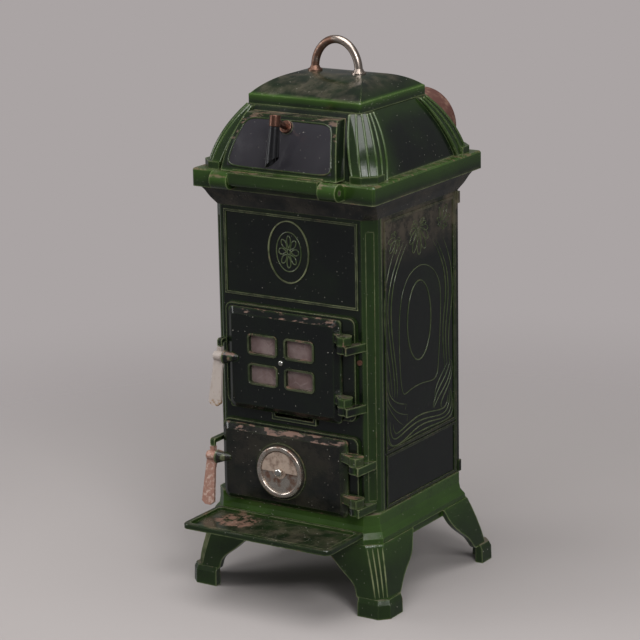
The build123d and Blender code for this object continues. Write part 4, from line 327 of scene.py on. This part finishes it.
metalLooks = {
    "nickel": {"clean": (0.60, 0.54, 0.48), "worn": (0.28, 0.155, 0.110), "from": 0.44, "to": 0.66,
               "metal": 0.88, "rough": (0.22, 0.50), "scale": 60.0, "grain": 0.15},
    "handle": {"clean": (0.46, 0.385, 0.335), "worn": (0.22, 0.125, 0.090), "from": 0.44, "to": 0.60,
               "metal": 1.0, "rough": (0.30, 0.48), "scale": 45.0, "grain": 0.15, "lean": (0.030, -0.030)},
    "regulatorPlate": {"clean": (0.56, 0.44, 0.355), "worn": (0.22, 0.14, 0.105), "from": 0.42, "to": 0.66,
                       "metal": 0.35, "rough": (0.38, 0.60), "scale": 70.0, "grain": 0.30},
    "brightSteel": {"clean": (0.66, 0.64, 0.60), "worn": (0.32, 0.24, 0.19), "from": 0.55, "to": 0.75,
                    "metal": 1.0, "rough": (0.25, 0.50), "scale": 90.0, "grain": 0.2},
    "copper": {"clean": (0.16, 0.080, 0.057), "worn": (0.10, 0.045, 0.032), "from": 0.50, "to": 0.70,
               "metal": 0.9, "rough": (0.30, 0.60), "scale": 90.0, "grain": 0.3},
    "rustyCopper": {"clean": (0.38, 0.205, 0.155), "worn": (0.56, 0.41, 0.34), "from": 0.50, "to": 0.62,
                    "metal": 0.35, "rough": (0.50, 0.75), "scale": 160.0, "grain": 0.8},
    "blackSheet": {"clean": (0.016, 0.016, 0.018), "worn": (0.07, 0.065, 0.065), "from": 0.55, "to": 0.80,
                   "metal": 0.6, "rough": (0.28, 0.50), "scale": 70.0, "grain": 0.2},
    "flueRust": {"clean": (0.105, 0.042, 0.032), "worn": (0.24, 0.135, 0.095), "from": 0.48, "to": 0.72,
                 "metal": 0.15, "rough": (0.62, 0.85), "scale": 45.0, "grain": 0.8},
    "darkSteel": {"clean": (0.10, 0.085, 0.075), "worn": (0.24, 0.12, 0.075), "from": 0.50, "to": 0.70,
                  "metal": 0.6, "rough": (0.45, 0.70), "scale": 120.0, "grain": 0.4},
    "rustScrew": {"clean": (0.14, 0.06, 0.04), "worn": (0.30, 0.17, 0.11), "from": 0.50, "to": 0.70,
                  "metal": 0.3, "rough": (0.50, 0.75), "scale": 200.0, "grain": 0.4},
    "bareIron": {"clean": (0.060, 0.054, 0.050), "worn": (0.16, 0.095, 0.065), "from": 0.50, "to": 0.75,
                 "metal": 0.3, "rough": (0.62, 0.85), "scale": 40.0, "grain": 0.7},
    "panSheet": {"clean": (0.30, 0.30, 0.29), "worn": (0.20, 0.15, 0.12), "from": 0.50, "to": 0.75,
                 "metal": 0.8, "rough": (0.40, 0.65), "scale": 30.0, "grain": 0.2},
}
metalGrain = {"detail": 6.0, "rough": 0.65, "leanBy": 0.26, "finer": 8, "pitting": -0.5, "distance": 0.0005}


def metal(name):
    look = metalLooks[name]
    material, tree, surface = startMaterial(name)
    place, coords = places(tree)
    cloud = noise(tree, place, look["scale"], metalGrain["detail"], metalGrain["rough"])
    if "lean" in look:  # one end of the piece is more worn than the other
        leanBy = metalGrain["leanBy"]
        leaning = calc(tree, "SUBTRACT", remap(tree, coords[0], *look["lean"], leanBy), leanBy / 2)
        cloud = calc(tree, "ADD", cloud, leaning)
    patches = remap(tree, cloud, look["from"], look["to"])
    tree.links.new(blend(tree, patches, look["clean"], look["worn"]), surface.inputs["Base Color"])
    surface.inputs["Metallic"].default_value = look["metal"]
    low, high = look["rough"]
    rough = calc(tree, "ADD", calc(tree, "MULTIPLY", patches, high - low), low)
    tree.links.new(rough, surface.inputs["Roughness"])
    grain = noise(tree, place, look["scale"] * metalGrain["finer"])
    height = calc(tree, "ADD", grain, calc(tree, "MULTIPLY", patches, metalGrain["pitting"]))
    tree.links.new(bumped(tree, height, look["grain"], metalGrain["distance"]), surface.inputs["Normal"])
    return material


leverEnamel = {
    "white": (0.43, 0.375, 0.34), "stain": (0.27, 0.20, 0.155), "bare": (0.25, 0.15, 0.07),
    "stains": (90.0, 6.0, 0.55, 0.48, 0.75, 0.6), "tip": (0.345, 0.338),
    "tipWear": (110.0, 3.0, 0.55, 0.44, 0.52), "chips": (240.0, 0.22, 0.16), "chipMost": 0.7,
    "rough": 0.34, "stainRough": 0.4, "grain": 500.0, "bump": (0.25, 0.0004),
}


def whiteLever():
    material, tree, surface = startMaterial("leverWhite")
    place, coords = places(tree)
    stain = clouds(tree, place, *leverEnamel["stains"])
    colour = blend(tree, stain, leverEnamel["white"], leverEnamel["stain"])
    tip = calc(tree, "MULTIPLY", remap(tree, coords[2], *leverEnamel["tip"]),
               clouds(tree, place, *leverEnamel["tipWear"]))
    chips = calc(tree, "MULTIPLY", spots(tree, place, *leverEnamel["chips"]), leverEnamel["chipMost"])
    bare = calc(tree, "MAXIMUM", tip, chips)
    tree.links.new(blend(tree, bare, colour, leverEnamel["bare"]), surface.inputs["Base Color"])
    rough = calc(tree, "ADD", calc(tree, "MULTIPLY", stain, leverEnamel["stainRough"]), leverEnamel["rough"])
    tree.links.new(rough, surface.inputs["Roughness"])
    height = calc(tree, "SUBTRACT", noise(tree, place, leverEnamel["grain"]), bare)
    tree.links.new(bumped(tree, height, *leverEnamel["bump"]), surface.inputs["Normal"])
    return material


micaLook = {
    "smoke": (0.155, 0.104, 0.099), "pale": (0.30, 0.24, 0.23),
    "clouds": (34.0, 4.0, 0.55, 0.40, 0.72, 0.55), "turn": 0.75, "creases": 24.5, "creaseWidth": 0.020,
    "creased": (18.0, 3.0, 0.55, 0.45, 0.60), "creaseMost": 0.6, "rough": 0.22, "ripple": 45.0,
    "rippleBump": (0.6, 0.0012), "creaseBump": (0.6, 0.0006),
}


def micaMaterial():
    material, tree, surface = startMaterial("mica")
    place = places(tree)[0]
    turning = {"Vector": place, "Rotation": (0.0, micaLook["turn"], 0.0)}
    turned = put(tree, "ShaderNodeMapping", turning).outputs[0]
    cells = put(tree, "ShaderNodeTexVoronoi", {"Vector": turned, "Scale": micaLook["creases"]},
                feature="DISTANCE_TO_EDGE").outputs["Distance"]
    creases = calc(tree, "MULTIPLY", remap(tree, cells, micaLook["creaseWidth"], 0.0),
                   clouds(tree, place, *micaLook["creased"]))
    colour = blend(tree, clouds(tree, place, *micaLook["clouds"]), micaLook["smoke"], micaLook["pale"])
    colour = blend(tree, calc(tree, "MULTIPLY", creases, micaLook["creaseMost"]), colour, micaLook["pale"])
    tree.links.new(colour, surface.inputs["Base Color"])
    surface.inputs["Roughness"].default_value = micaLook["rough"]
    ripple = bumped(tree, noise(tree, turned, micaLook["ripple"]), *micaLook["rippleBump"])
    tree.links.new(bumped(tree, creases, *micaLook["creaseBump"], ripple), surface.inputs["Normal"])
    return material


brickLook = {
    "clay": (0.46, 0.33, 0.22), "soot": (0.07, 0.06, 0.055), "sooted": (30.0, 6.0, 0.55, 0.35, 0.70),
    "rough": 0.9, "grain": (260.0, 4.0), "bump": (0.7, 0.0012),
}


def brickMaterial():
    material, tree, surface = startMaterial("firebrick")
    place = places(tree)[0]
    colour = blend(tree, clouds(tree, place, *brickLook["sooted"]), brickLook["clay"], brickLook["soot"])
    tree.links.new(colour, surface.inputs["Base Color"])
    surface.inputs["Roughness"].default_value = brickLook["rough"]
    grain = bumped(tree, noise(tree, place, *brickLook["grain"]), *brickLook["bump"])
    tree.links.new(grain, surface.inputs["Normal"])
    return material


enamelPieces = {
    "front": ["front_plate"], "sides": ["side_plate_left", "side_plate_right", "back_plate"],
    "doors": ["fire_door", "ash_door"], "crown": ["cornice"], "hoodDoor": ["hood_door"],
    "hood": ["hood_front", "hood_back", "flue_sleeve"], "hoodSides": ["hood_left", "hood_right"],
    "corners": ["hood_corner_front_left", "hood_corner_front_right", "hood_corner_back_left",
                "hood_corner_back_right"],
    "lid": ["lid", "lid_rim"], "base": ["base_casting"], "tray": ["hearth_tray"],
}
metalPieces = {
    "nickel": ["regulator_ring"], "handle": ["lid_handle"], "regulatorPlate": ["regulator_flap"],
    "brightSteel": ["regulator_bolt", "mica_bolt"], "copper": ["hood_latch_stem"],
    "rustyCopper": ["ash_latch_lever"], "blackSheet": ["hood_latch_handle"],
    "flueRust": ["flue_collar"], "rustScrew": ["frame_screw"],
    "darkSteel": ["hearth_tray_screws", "hood_screws", "flue_collar_screws", "hood_door_hinge_pins",
                  "hood_latch_tongue", "hood_latch_nut", "lid_handle_nuts", "fire_door_hinge_pins",
                  "mica_retainer", "mica_nut", "fire_latch_pin", "ash_door_hinge_pins", "regulator_nut",
                  "ash_latch_pin", "tie_rods", "tie_rod_nuts"],
    "bareIron": ["grate_plate", "grate", "baffle_plate"], "panSheet": ["ash_pan"],
}


def dress(members, material):
    for member in members:
        mesh = nodes[member].data
        mesh.materials.clear()
        mesh.materials.append(material)


enamels = {name: enamel(name) for name in enamelLooks}
for name, members in enamelPieces.items():
    dress(members, enamels[name])
for name, members in metalPieces.items():
    dress(members, metal(name))
dress(["fire_latch_lever"], whiteLever())
dress(["mica_sheet"], micaMaterial())
dress(["firebrick_left", "firebrick_right", "firebrick_back"], brickMaterial())
print("materials on the castings")

# raised lines, as round beads along a spline; a tapered line thins out over its last points


def beadLines(name, lines, radius, material, body, flat=None, sides=2):
    curve = bpy.data.curves.new(name + "_line", "CURVE")
    curve.dimensions = "3D"
    curve.bevel_depth = radius
    curve.bevel_resolution = sides
    curve.resolution_u = 8
    curve.use_fill_caps = True
    tip = 0.25  # radius share at a tapered end
    for line in lines:
        points, closed, tapered = line["points"], line.get("closed", False), line.get("taper", 0)
        spline = curve.splines.new("NURBS")
        spline.points.add(len(points) - 1)
        for index, point in enumerate(points):
            spline.points[index].co = (*point, 1.0)
            fromEnd = min(index, len(points) - 1 - index)
            spline.points[index].radius = 1.0 if fromEnd >= tapered else tip + (1 - tip) * fromEnd / tapered
        spline.order_u = min(4, len(points))
        spline.use_cyclic_u = closed
        spline.use_endpoint_u = not closed
    holder = bpy.data.objects.new(name + "_curve", curve)
    bpy.context.scene.collection.objects.link(holder)
    mesh = bpy.data.meshes.new_from_object(holder.evaluated_get(bpy.context.evaluated_depsgraph_get()))
    bpy.data.objects.remove(holder)
    mesh.name = name
    if flat:
        axis, level, squash = flat  # flattened towards the plate that carries it
        for vertex in mesh.vertices:
            vertex.co[axis] = level + (vertex.co[axis] - level) * squash
    for polygon in mesh.polygons:
        polygon.use_smooth = True
    mesh.materials.clear()
    mesh.materials.append(material)
    piece = bpy.data.objects.new(name, mesh)
    bpy.context.scene.collection.objects.link(piece)
    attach(piece, body)


# cast ornament of the side plates; lines, flowers and petals are in millimetres along the drawing's
# Y and Z, the rest is in metres
sideRelief = {
    "ground": 0.1600, "lineRadius": 0.0013, "thinner": 0.7, "rise": 0.85,
    "oval": {"centre": (-0.0045, 0.476), "half": (0.04017, 0.07107), "points": 16},
    "stems": [
        [(-81, 618), (-103, 586), (-116, 548), (-120, 505), (-114, 452), (-100, 404), (-95, 363)],
        [(-54, 622), (-80, 591), (-100, 558), (-109, 519), (-105, 477), (-93, 420), (-86, 377), (-88, 360)],
        [(-44, 617), (-67, 592), (-87, 562), (-98, 520), (-96, 475), (-84, 418), (-77, 374), (-80, 356)],
        [(44, 604), (71, 573), (87, 531), (85, 489), (73, 450), (75, 407), (83, 359)],
        [(54, 604), (84, 566), (96, 525), (93, 480), (83, 444), (84, 405), (90, 368)],
        [(78, 604), (101, 566), (110, 522), (107, 484), (95, 445), (93, 403), (99, 372)],
    ],
    "ribbons": [
        [(-110, 326), (-112, 303), (-106, 281), (-87, 272), (-54, 277), (-14, 290), (33, 288), (74, 280),
         (102, 286), (105, 306), (99, 330)],
        [(-104, 322), (-103, 297), (-93, 284), (-67, 288), (-27, 298), (13, 298), (60, 289), (91, 290),
         (98, 308), (95, 327)],
        [(-94, 315), (-92, 293), (-73, 295), (-34, 305), (0, 309), (40, 303), (74, 297), (89, 302),
         (91, 319)],
        [(-115, 329), (-116, 302), (-110, 277), (-80, 273), (-28, 278), (33, 279), (88, 274), (110, 281),
         (110, 305), (101, 329)],
    ],
    "leaves": [
        [(-105, 393), (-111, 376), (-95, 354), (-69, 343), (-50, 339)],
        [(-109, 391), (-115, 367), (-98, 342), (-73, 326), (-45, 319)],
        [(-115, 370), (-112, 345), (-89, 322), (-60, 304)],
        [(-50, 339), (-53, 330)], [(-45, 319), (-48, 309)],
        [(90, 378), (71, 361), (48, 348), (46, 329)],
        [(99, 380), (92, 360), (61, 343), (44, 322), (40, 309)],
        [(104, 375), (101, 354), (78, 335), (54, 320), (43, 308)],
        [(108, 367), (104, 346), (81, 325), (61, 307), (71, 301)],
        [(96, 384), (107, 378), (109, 363)],
    ],
    "arch": [(-63, 356), (-70, 407), (-72, 477), (-66, 523), (-45, 560), (-3, 575), (37, 563), (63, 536),
             (70, 507), (66, 444), (60, 393), (56, 354), (14, 363), (-26, 363), (-50, 357)],
    "flowers": [{"centre": (-3, 640), "petals": 11, "from": 150, "to": 390, "long": (22, 54)},
                {"centre": (-76, 634), "petals": 7, "from": 120, "to": 330, "long": (14, 34)},
                {"centre": (74, 630), "petals": 7, "from": -70, "to": 190, "long": (14, 36)}],
    "petal": {"root": 4, "slim": 0.13, "least": 1.5, "sides": [(0.45, 1.0), (0.8, 0.8)]},
}


def flowerPetals(flower):
    petal = sideRelief["petal"]
    lines = []
    cy, cz = flower["centre"]
    short, long = flower["long"]
    for index in range(flower["petals"]):
        share = index / (flower["petals"] - 1)
        angle = math.radians(flower["from"] + share * (flower["to"] - flower["from"]))
        reach = short + (long - short) * math.sin(math.pi * share) ** 2
        width = petal["slim"] * reach + petal["least"]
        rows = [(along * reach, across * width) for along, across in petal["sides"]]
        rows = [(petal["root"], 0), *rows, (reach, 0), *[(r, -w) for r, w in rows[::-1]], (petal["root"], 0)]
        ca, sa = math.cos(angle), math.sin(angle)
        lines.append([(cy + r * ca - w * sa, cz + r * sa + w * ca) for r, w in rows])
    return lines


def sidePanel(side):
    ground = side * sideRelief["ground"]

    def upright(points):
        return [(ground, y / 1000 + shiftY, z / 1000) for y, z in points]

    bold = []
    for group in ("stems", "ribbons", "leaves"):
        bold += [{"points": upright(points), "taper": 1} for points in sideRelief[group]]
    oval = sideRelief["oval"]
    cy, cz = oval["centre"]
    hy, hz = oval["half"]
    turns = [2 * math.pi * index / oval["points"] for index in range(oval["points"])]
    ring = [(ground, cy + shiftY + hy * math.cos(turn), cz + hz * math.sin(turn)) for turn in turns]
    bold.append({"points": ring, "closed": True})
    thin = [{"points": upright(sideRelief["arch"]), "closed": True}]
    for flower in sideRelief["flowers"]:
        thin += [{"points": upright(points), "taper": 1} for points in flowerPetals(flower)]
    label = "right" if side > 0 else "left"
    radius = sideRelief["lineRadius"]
    flat = (0, ground, sideRelief["rise"])
    beadLines("side_relief_" + label, bold, radius, enamels["relief"], "stove", flat)
    radius *= sideRelief["thinner"]
    beadLines("side_flowers_" + label, thin, radius, enamels["relief"], "stove", flat)


for side in (-1, 1):
    sidePanel(side)
print("side relief")

ovalRosette = {
    "centre": (-0.003, 0.6075), "ground": -0.1575, "half": (0.021, 0.029), "petals": 8,
    "petal": [(0.22, 0.0), (0.5, 0.2), (0.82, 0.2), (1.0, 0.0), (0.82, -0.2), (0.5, -0.2), (0.22, 0.0)],
    "lineRadius": 0.0011, "rise": 0.9, "rings": (0.16, 1.22), "ringPoints": 12,
}


def rosette():
    cx, cz = ovalRosette["centre"]
    hx, hz = ovalRosette["half"]
    ground = ovalRosette["ground"]
    lines = []
    for index in range(ovalRosette["petals"]):
        angle = 2 * math.pi * index / ovalRosette["petals"]
        ca, sa = math.cos(angle), math.sin(angle)
        petal = ovalRosette["petal"]
        points = [(cx + hx * (r * ca - w * sa), ground, cz + hz * (r * sa + w * ca)) for r, w in petal]
        lines.append({"points": points})
    count = ovalRosette["ringPoints"]
    turns = [2 * math.pi * index / count for index in range(count)]
    for share in ovalRosette["rings"]:
        ring = [(cx + hx * share * math.cos(turn), ground, cz + hz * share * math.sin(turn))
                for turn in turns]
        lines.append({"points": ring, "closed": True})
    beadLines("panel_rosette", lines, ovalRosette["lineRadius"], enamels["relief"], "stove",
              (1, ground, ovalRosette["rise"]))


rosette()
print("rosette in the oval")

# ribs on the hood's corners; the hood's outline is an arc through its foot, middle and top

hoodForm = {
    "foot": (0.162, 0.739), "middle": (0.144, 0.794), "top": (0.1105, 0.8424),
    "proud": 0.006, "chamfer": 0.020, "frontEdge": (0.1315, 0.095), "sideEdge": (0.115, 0.074),
    "ribRadius": 0.0023, "steps": 10, "shares": (0.03, 0.24, 0.42, 0.60, 0.78, 0.97), "topGap": 0.0015,
}


def hoodArc():
    (ax, az), (bx, bz), (cx, cz) = hoodForm["foot"], hoodForm["middle"], hoodForm["top"]
    d = 2 * (ax * (bz - cz) + bx * (cz - az) + cx * (az - bz))
    sa, sb, sc = ax * ax + az * az, bx * bx + bz * bz, cx * cx + cz * cz
    ox = (sa * (bz - cz) + sb * (cz - az) + sc * (az - bz)) / d
    oz = (sa * (cx - bx) + sb * (ax - cx) + sc * (bx - ax)) / d
    return ox, oz, math.hypot(ax - ox, az - oz)


arcX, arcZ, arcRadius = hoodArc()


def hoodHalf(z):
    return arcX + math.sqrt(arcRadius ** 2 - (z - arcZ) ** 2)


def between(ends, share):
    return ends[0] + share * (ends[1] - ends[0])


def alongOutline(corners, share):
    lengths = [(Vector(b) - Vector(a)).length for a, b in zip(corners, corners[1:])]
    left = share * sum(lengths)
    for start, end, length in zip(corners, corners[1:], lengths):
        if left <= length:
            return Vector(start).lerp(Vector(end), left / length)
        left -= length
    return Vector(corners[-1])


def cornerRibs(sx, sy):
    low, high = hoodForm["foot"][1], hoodForm["top"][1]
    lines = []
    for share in hoodForm["shares"]:
        points = []
        for step in range(hoodForm["steps"] + 1):
            z = min(between((low, high), step / hoodForm["steps"]), high - hoodForm["topGap"])
            up = (z - low) / (high - low)
            half = hoodHalf(z) + hoodForm["proud"]
            cut = hoodForm["chamfer"]
            outline = [(between(hoodForm["frontEdge"], up), half), (half - cut, half), (half, half - cut),
                       (half, between(hoodForm["sideEdge"], up))]
            spot = alongOutline(outline, share)
            points.append((sx * spot.x, sy * spot.y + shiftY, z))
        lines.append({"points": points})
    name = "hood_ribs_" + ("front" if sy < 0 else "back") + ("_right" if sx > 0 else "_left")
    beadLines(name, lines, hoodForm["ribRadius"], enamels["ribs"], "stove", sides=3)


for sx in (-1, 1):
    for sy in (-1, 1):
        cornerRibs(sx, sy)
print("ribs on the hood")

# bead round the hood door's panel

hoodDoorPanel = {
    "foot": 0.752, "top": 0.8295, "proud": 0.027, "radius": 0.0016, "inset": 0.009, "corner": 0.012,
    "cornerShares": (0.5, 0.4),  # where the bead rounds its corners at the foot and at the top
    "bend": 0.02, "middle": 0.05, "halves": ((0.743, 0.114), (0.7895, 0.105), (0.836, 0.090)),
}


def doorHalf(z):
    (z0, h0), (z1, h1), (z2, h2) = hoodDoorPanel["halves"]
    if z < z1:
        return between((h0, h1), (z - z0) / (z1 - z0))
    return between((h1, h2), (z - z1) / (z2 - z1))


def beadColumn(sx):
    low, high = hoodDoorPanel["foot"], hoodDoorPanel["top"]
    corner, bend = hoodDoorPanel["corner"], hoodDoorPanel["bend"]
    atFoot, atTop = hoodDoorPanel["cornerShares"]
    column = []
    heights = (low, low + corner * atFoot, low + bend, (low + high) / 2,
               high - bend, high - corner * atTop, high)
    for z in heights:
        pull = corner if z in (low, high) else 0.0
        column.append((sx * (doorHalf(z) - hoodDoorPanel["inset"] - pull), z))
    return column


def hoodDoorBead():
    low, high, middle = hoodDoorPanel["foot"], hoodDoorPanel["top"], hoodDoorPanel["middle"]
    flat = beadColumn(1) + [(middle, high), (0.0, high), (-middle, high)]
    flat += beadColumn(-1)[::-1] + [(-middle, low), (0.0, low), (middle, low)]
    points = [(x, -(hoodHalf(z) + hoodDoorPanel["proud"]) + shiftY, z) for x, z in flat]
    beadLines("hood_door_bead", [{"points": points, "closed": True}], hoodDoorPanel["radius"],
              enamels["piping"], "hood_door")


hoodDoorBead()
print("bead on the hood door")

# lines down the legs' chamfers; stations give a height and how far the leg has spread there

legForm = {
    "half": 0.172, "front": 0.174, "back": 0.153, "spreadSide": 0.029, "spreadFront": 0.018,
    "spreadBack": 0.035, "chamfers": (0.022, 0.015), "radius": 0.0014, "shares": (0.06, 0.36, 0.66, 0.94),
    "stations": ((0.119, 0.07), (0.108, 0.17), (0.095, 0.28), (0.084, 0.38), (0.072, 0.47), (0.060, 0.56),
                 (0.045, 0.66), (0.035, 0.72)),
}


def legLines(sx, sy):
    depth = legForm["front"] if sy < 0 else legForm["back"]
    spread = legForm["spreadFront"] if sy < 0 else legForm["spreadBack"]
    lines = []
    for share in legForm["shares"]:
        points = []
        for z, sweep in legForm["stations"]:
            half = legForm["half"] + sweep * legForm["spreadSide"]
            reach = depth + sweep * spread
            cut = between(legForm["chamfers"], sweep)
            points.append((sx * (half - cut * (1 - share)), sy * (reach - cut * share) + shiftY, z))
        lines.append({"points": points, "taper": 1})
    name = "leg_lines_" + ("front" if sy < 0 else "back") + ("_right" if sx > 0 else "_left")
    beadLines(name, lines, legForm["radius"], enamels["ribs"], "stove")


for sx in (-1, 1):
    for sy in (-1, 1):
        legLines(sx, sy)
print("lines on the legs")

# studio

studio = {
    "floor": (0.44, 0.405, 0.395), "floorTint": (3.0, 3.0, 0.55, 0.3, 0.7, 0.06), "floorRough": 0.8,
    "fade": (0.55, 1.9), "wall": (0.402, 0.371, 0.371), "light": (0.80, 0.79, 0.80), "ambient": 0.19,
    "lamps": [
        {"name": "overhead", "place": (0.2, -0.6, 3.0), "aim": (0, 0, 0.4), "size": 2.4, "watts": 66},
        {"name": "key", "place": (2.2, -2.0, 2.2), "aim": (0, 0, 0.5), "size": 1.0, "watts": 52},
        {"name": "side", "place": (-2.6, -1.6, 1.6), "aim": (0, 0, 0.5), "size": 1.4, "watts": 30},
    ],
}


def stageFloor():
    inner, outer = studio["fade"]
    material, tree, surface = startMaterial("floor")
    place = places(tree)[0]
    colour = blend(tree, clouds(tree, place, *studio["floorTint"]), studio["floor"], studio["wall"])
    tree.links.new(colour, surface.inputs["Base Color"])
    surface.inputs["Roughness"].default_value = studio["floorRough"]
    away = put(tree, "ShaderNodeVectorMath", {0: place}, operation="LENGTH").outputs["Value"]
    tree.links.new(remap(tree, away, outer, inner), surface.inputs["Alpha"])
    cloth = bmesh.new()
    bmesh.ops.create_circle(cloth, cap_ends=True, segments=64, radius=outer)
    mesh = bpy.data.meshes.new("floor")
    cloth.to_mesh(mesh)
    cloth.free()
    mesh.materials.append(material)
    floor = bpy.data.objects.new("floor", mesh)
    bpy.context.scene.collection.objects.link(floor)
    floor.visible_glossy = False


def backdrop():
    world = bpy.data.worlds.new("studio")
    bpy.context.scene.world = world
    world.use_nodes = True
    tree = world.node_tree
    tree.nodes.clear()
    path = put(tree, "ShaderNodeLightPath")
    seen = calc(tree, "MAXIMUM", path.outputs["Is Camera Ray"], path.outputs["Is Transmission Ray"])
    shown = put(tree, "ShaderNodeBackground", {"Color": (*studio["wall"], 1.0), "Strength": 1.0})
    lit = {"Color": (*studio["light"], 1.0), "Strength": studio["ambient"]}
    light = put(tree, "ShaderNodeBackground", lit)
    mixed = put(tree, "ShaderNodeMixShader", {0: seen, 1: light.outputs[0], 2: shown.outputs[0]})
    put(tree, "ShaderNodeOutputWorld", {"Surface": mixed.outputs[0]})


def lamp(settings):
    data = bpy.data.lights.new(settings["name"], "AREA")
    data.shape = "SQUARE"
    data.size = settings["size"]
    data.energy = settings["watts"]
    light = bpy.data.objects.new(settings["name"], data)
    light.location = settings["place"]
    light.rotation_euler = (Vector(settings["aim"]) - light.location).to_track_quat("-Z", "Y").to_euler()
    bpy.context.scene.collection.objects.link(light)


# seen from the front right and a little above; right, up and back are the camera's own axes
photoCamera = {
    "place": (2.4266, -3.8401, 1.6482), "lens": 152.42, "sensor": 36.0, "clip": (0.1, 60.0),
    "right": (0.8433, 0.5372, -0.0176), "up": (-0.1222, 0.2235, 0.9670), "back": (0.5234, -0.8133, 0.2541),
}


def setCamera():
    data = bpy.data.cameras.new("camera")
    data.sensor_width = photoCamera["sensor"]
    data.lens = photoCamera["lens"]
    data.clip_start, data.clip_end = photoCamera["clip"]
    camera = bpy.data.objects.new("camera", data)
    bpy.context.scene.collection.objects.link(camera)
    turn = Matrix([photoCamera["right"], photoCamera["up"], photoCamera["back"]]).transposed()
    camera.matrix_world = Matrix.Translation(photoCamera["place"]) @ turn.to_4x4()
    bpy.context.scene.camera = camera


stageFloor()
backdrop()
for settings in studio["lamps"]:
    lamp(settings)
setCamera()
bpy.context.scene.view_settings.view_transform = "Standard"
print("studio")
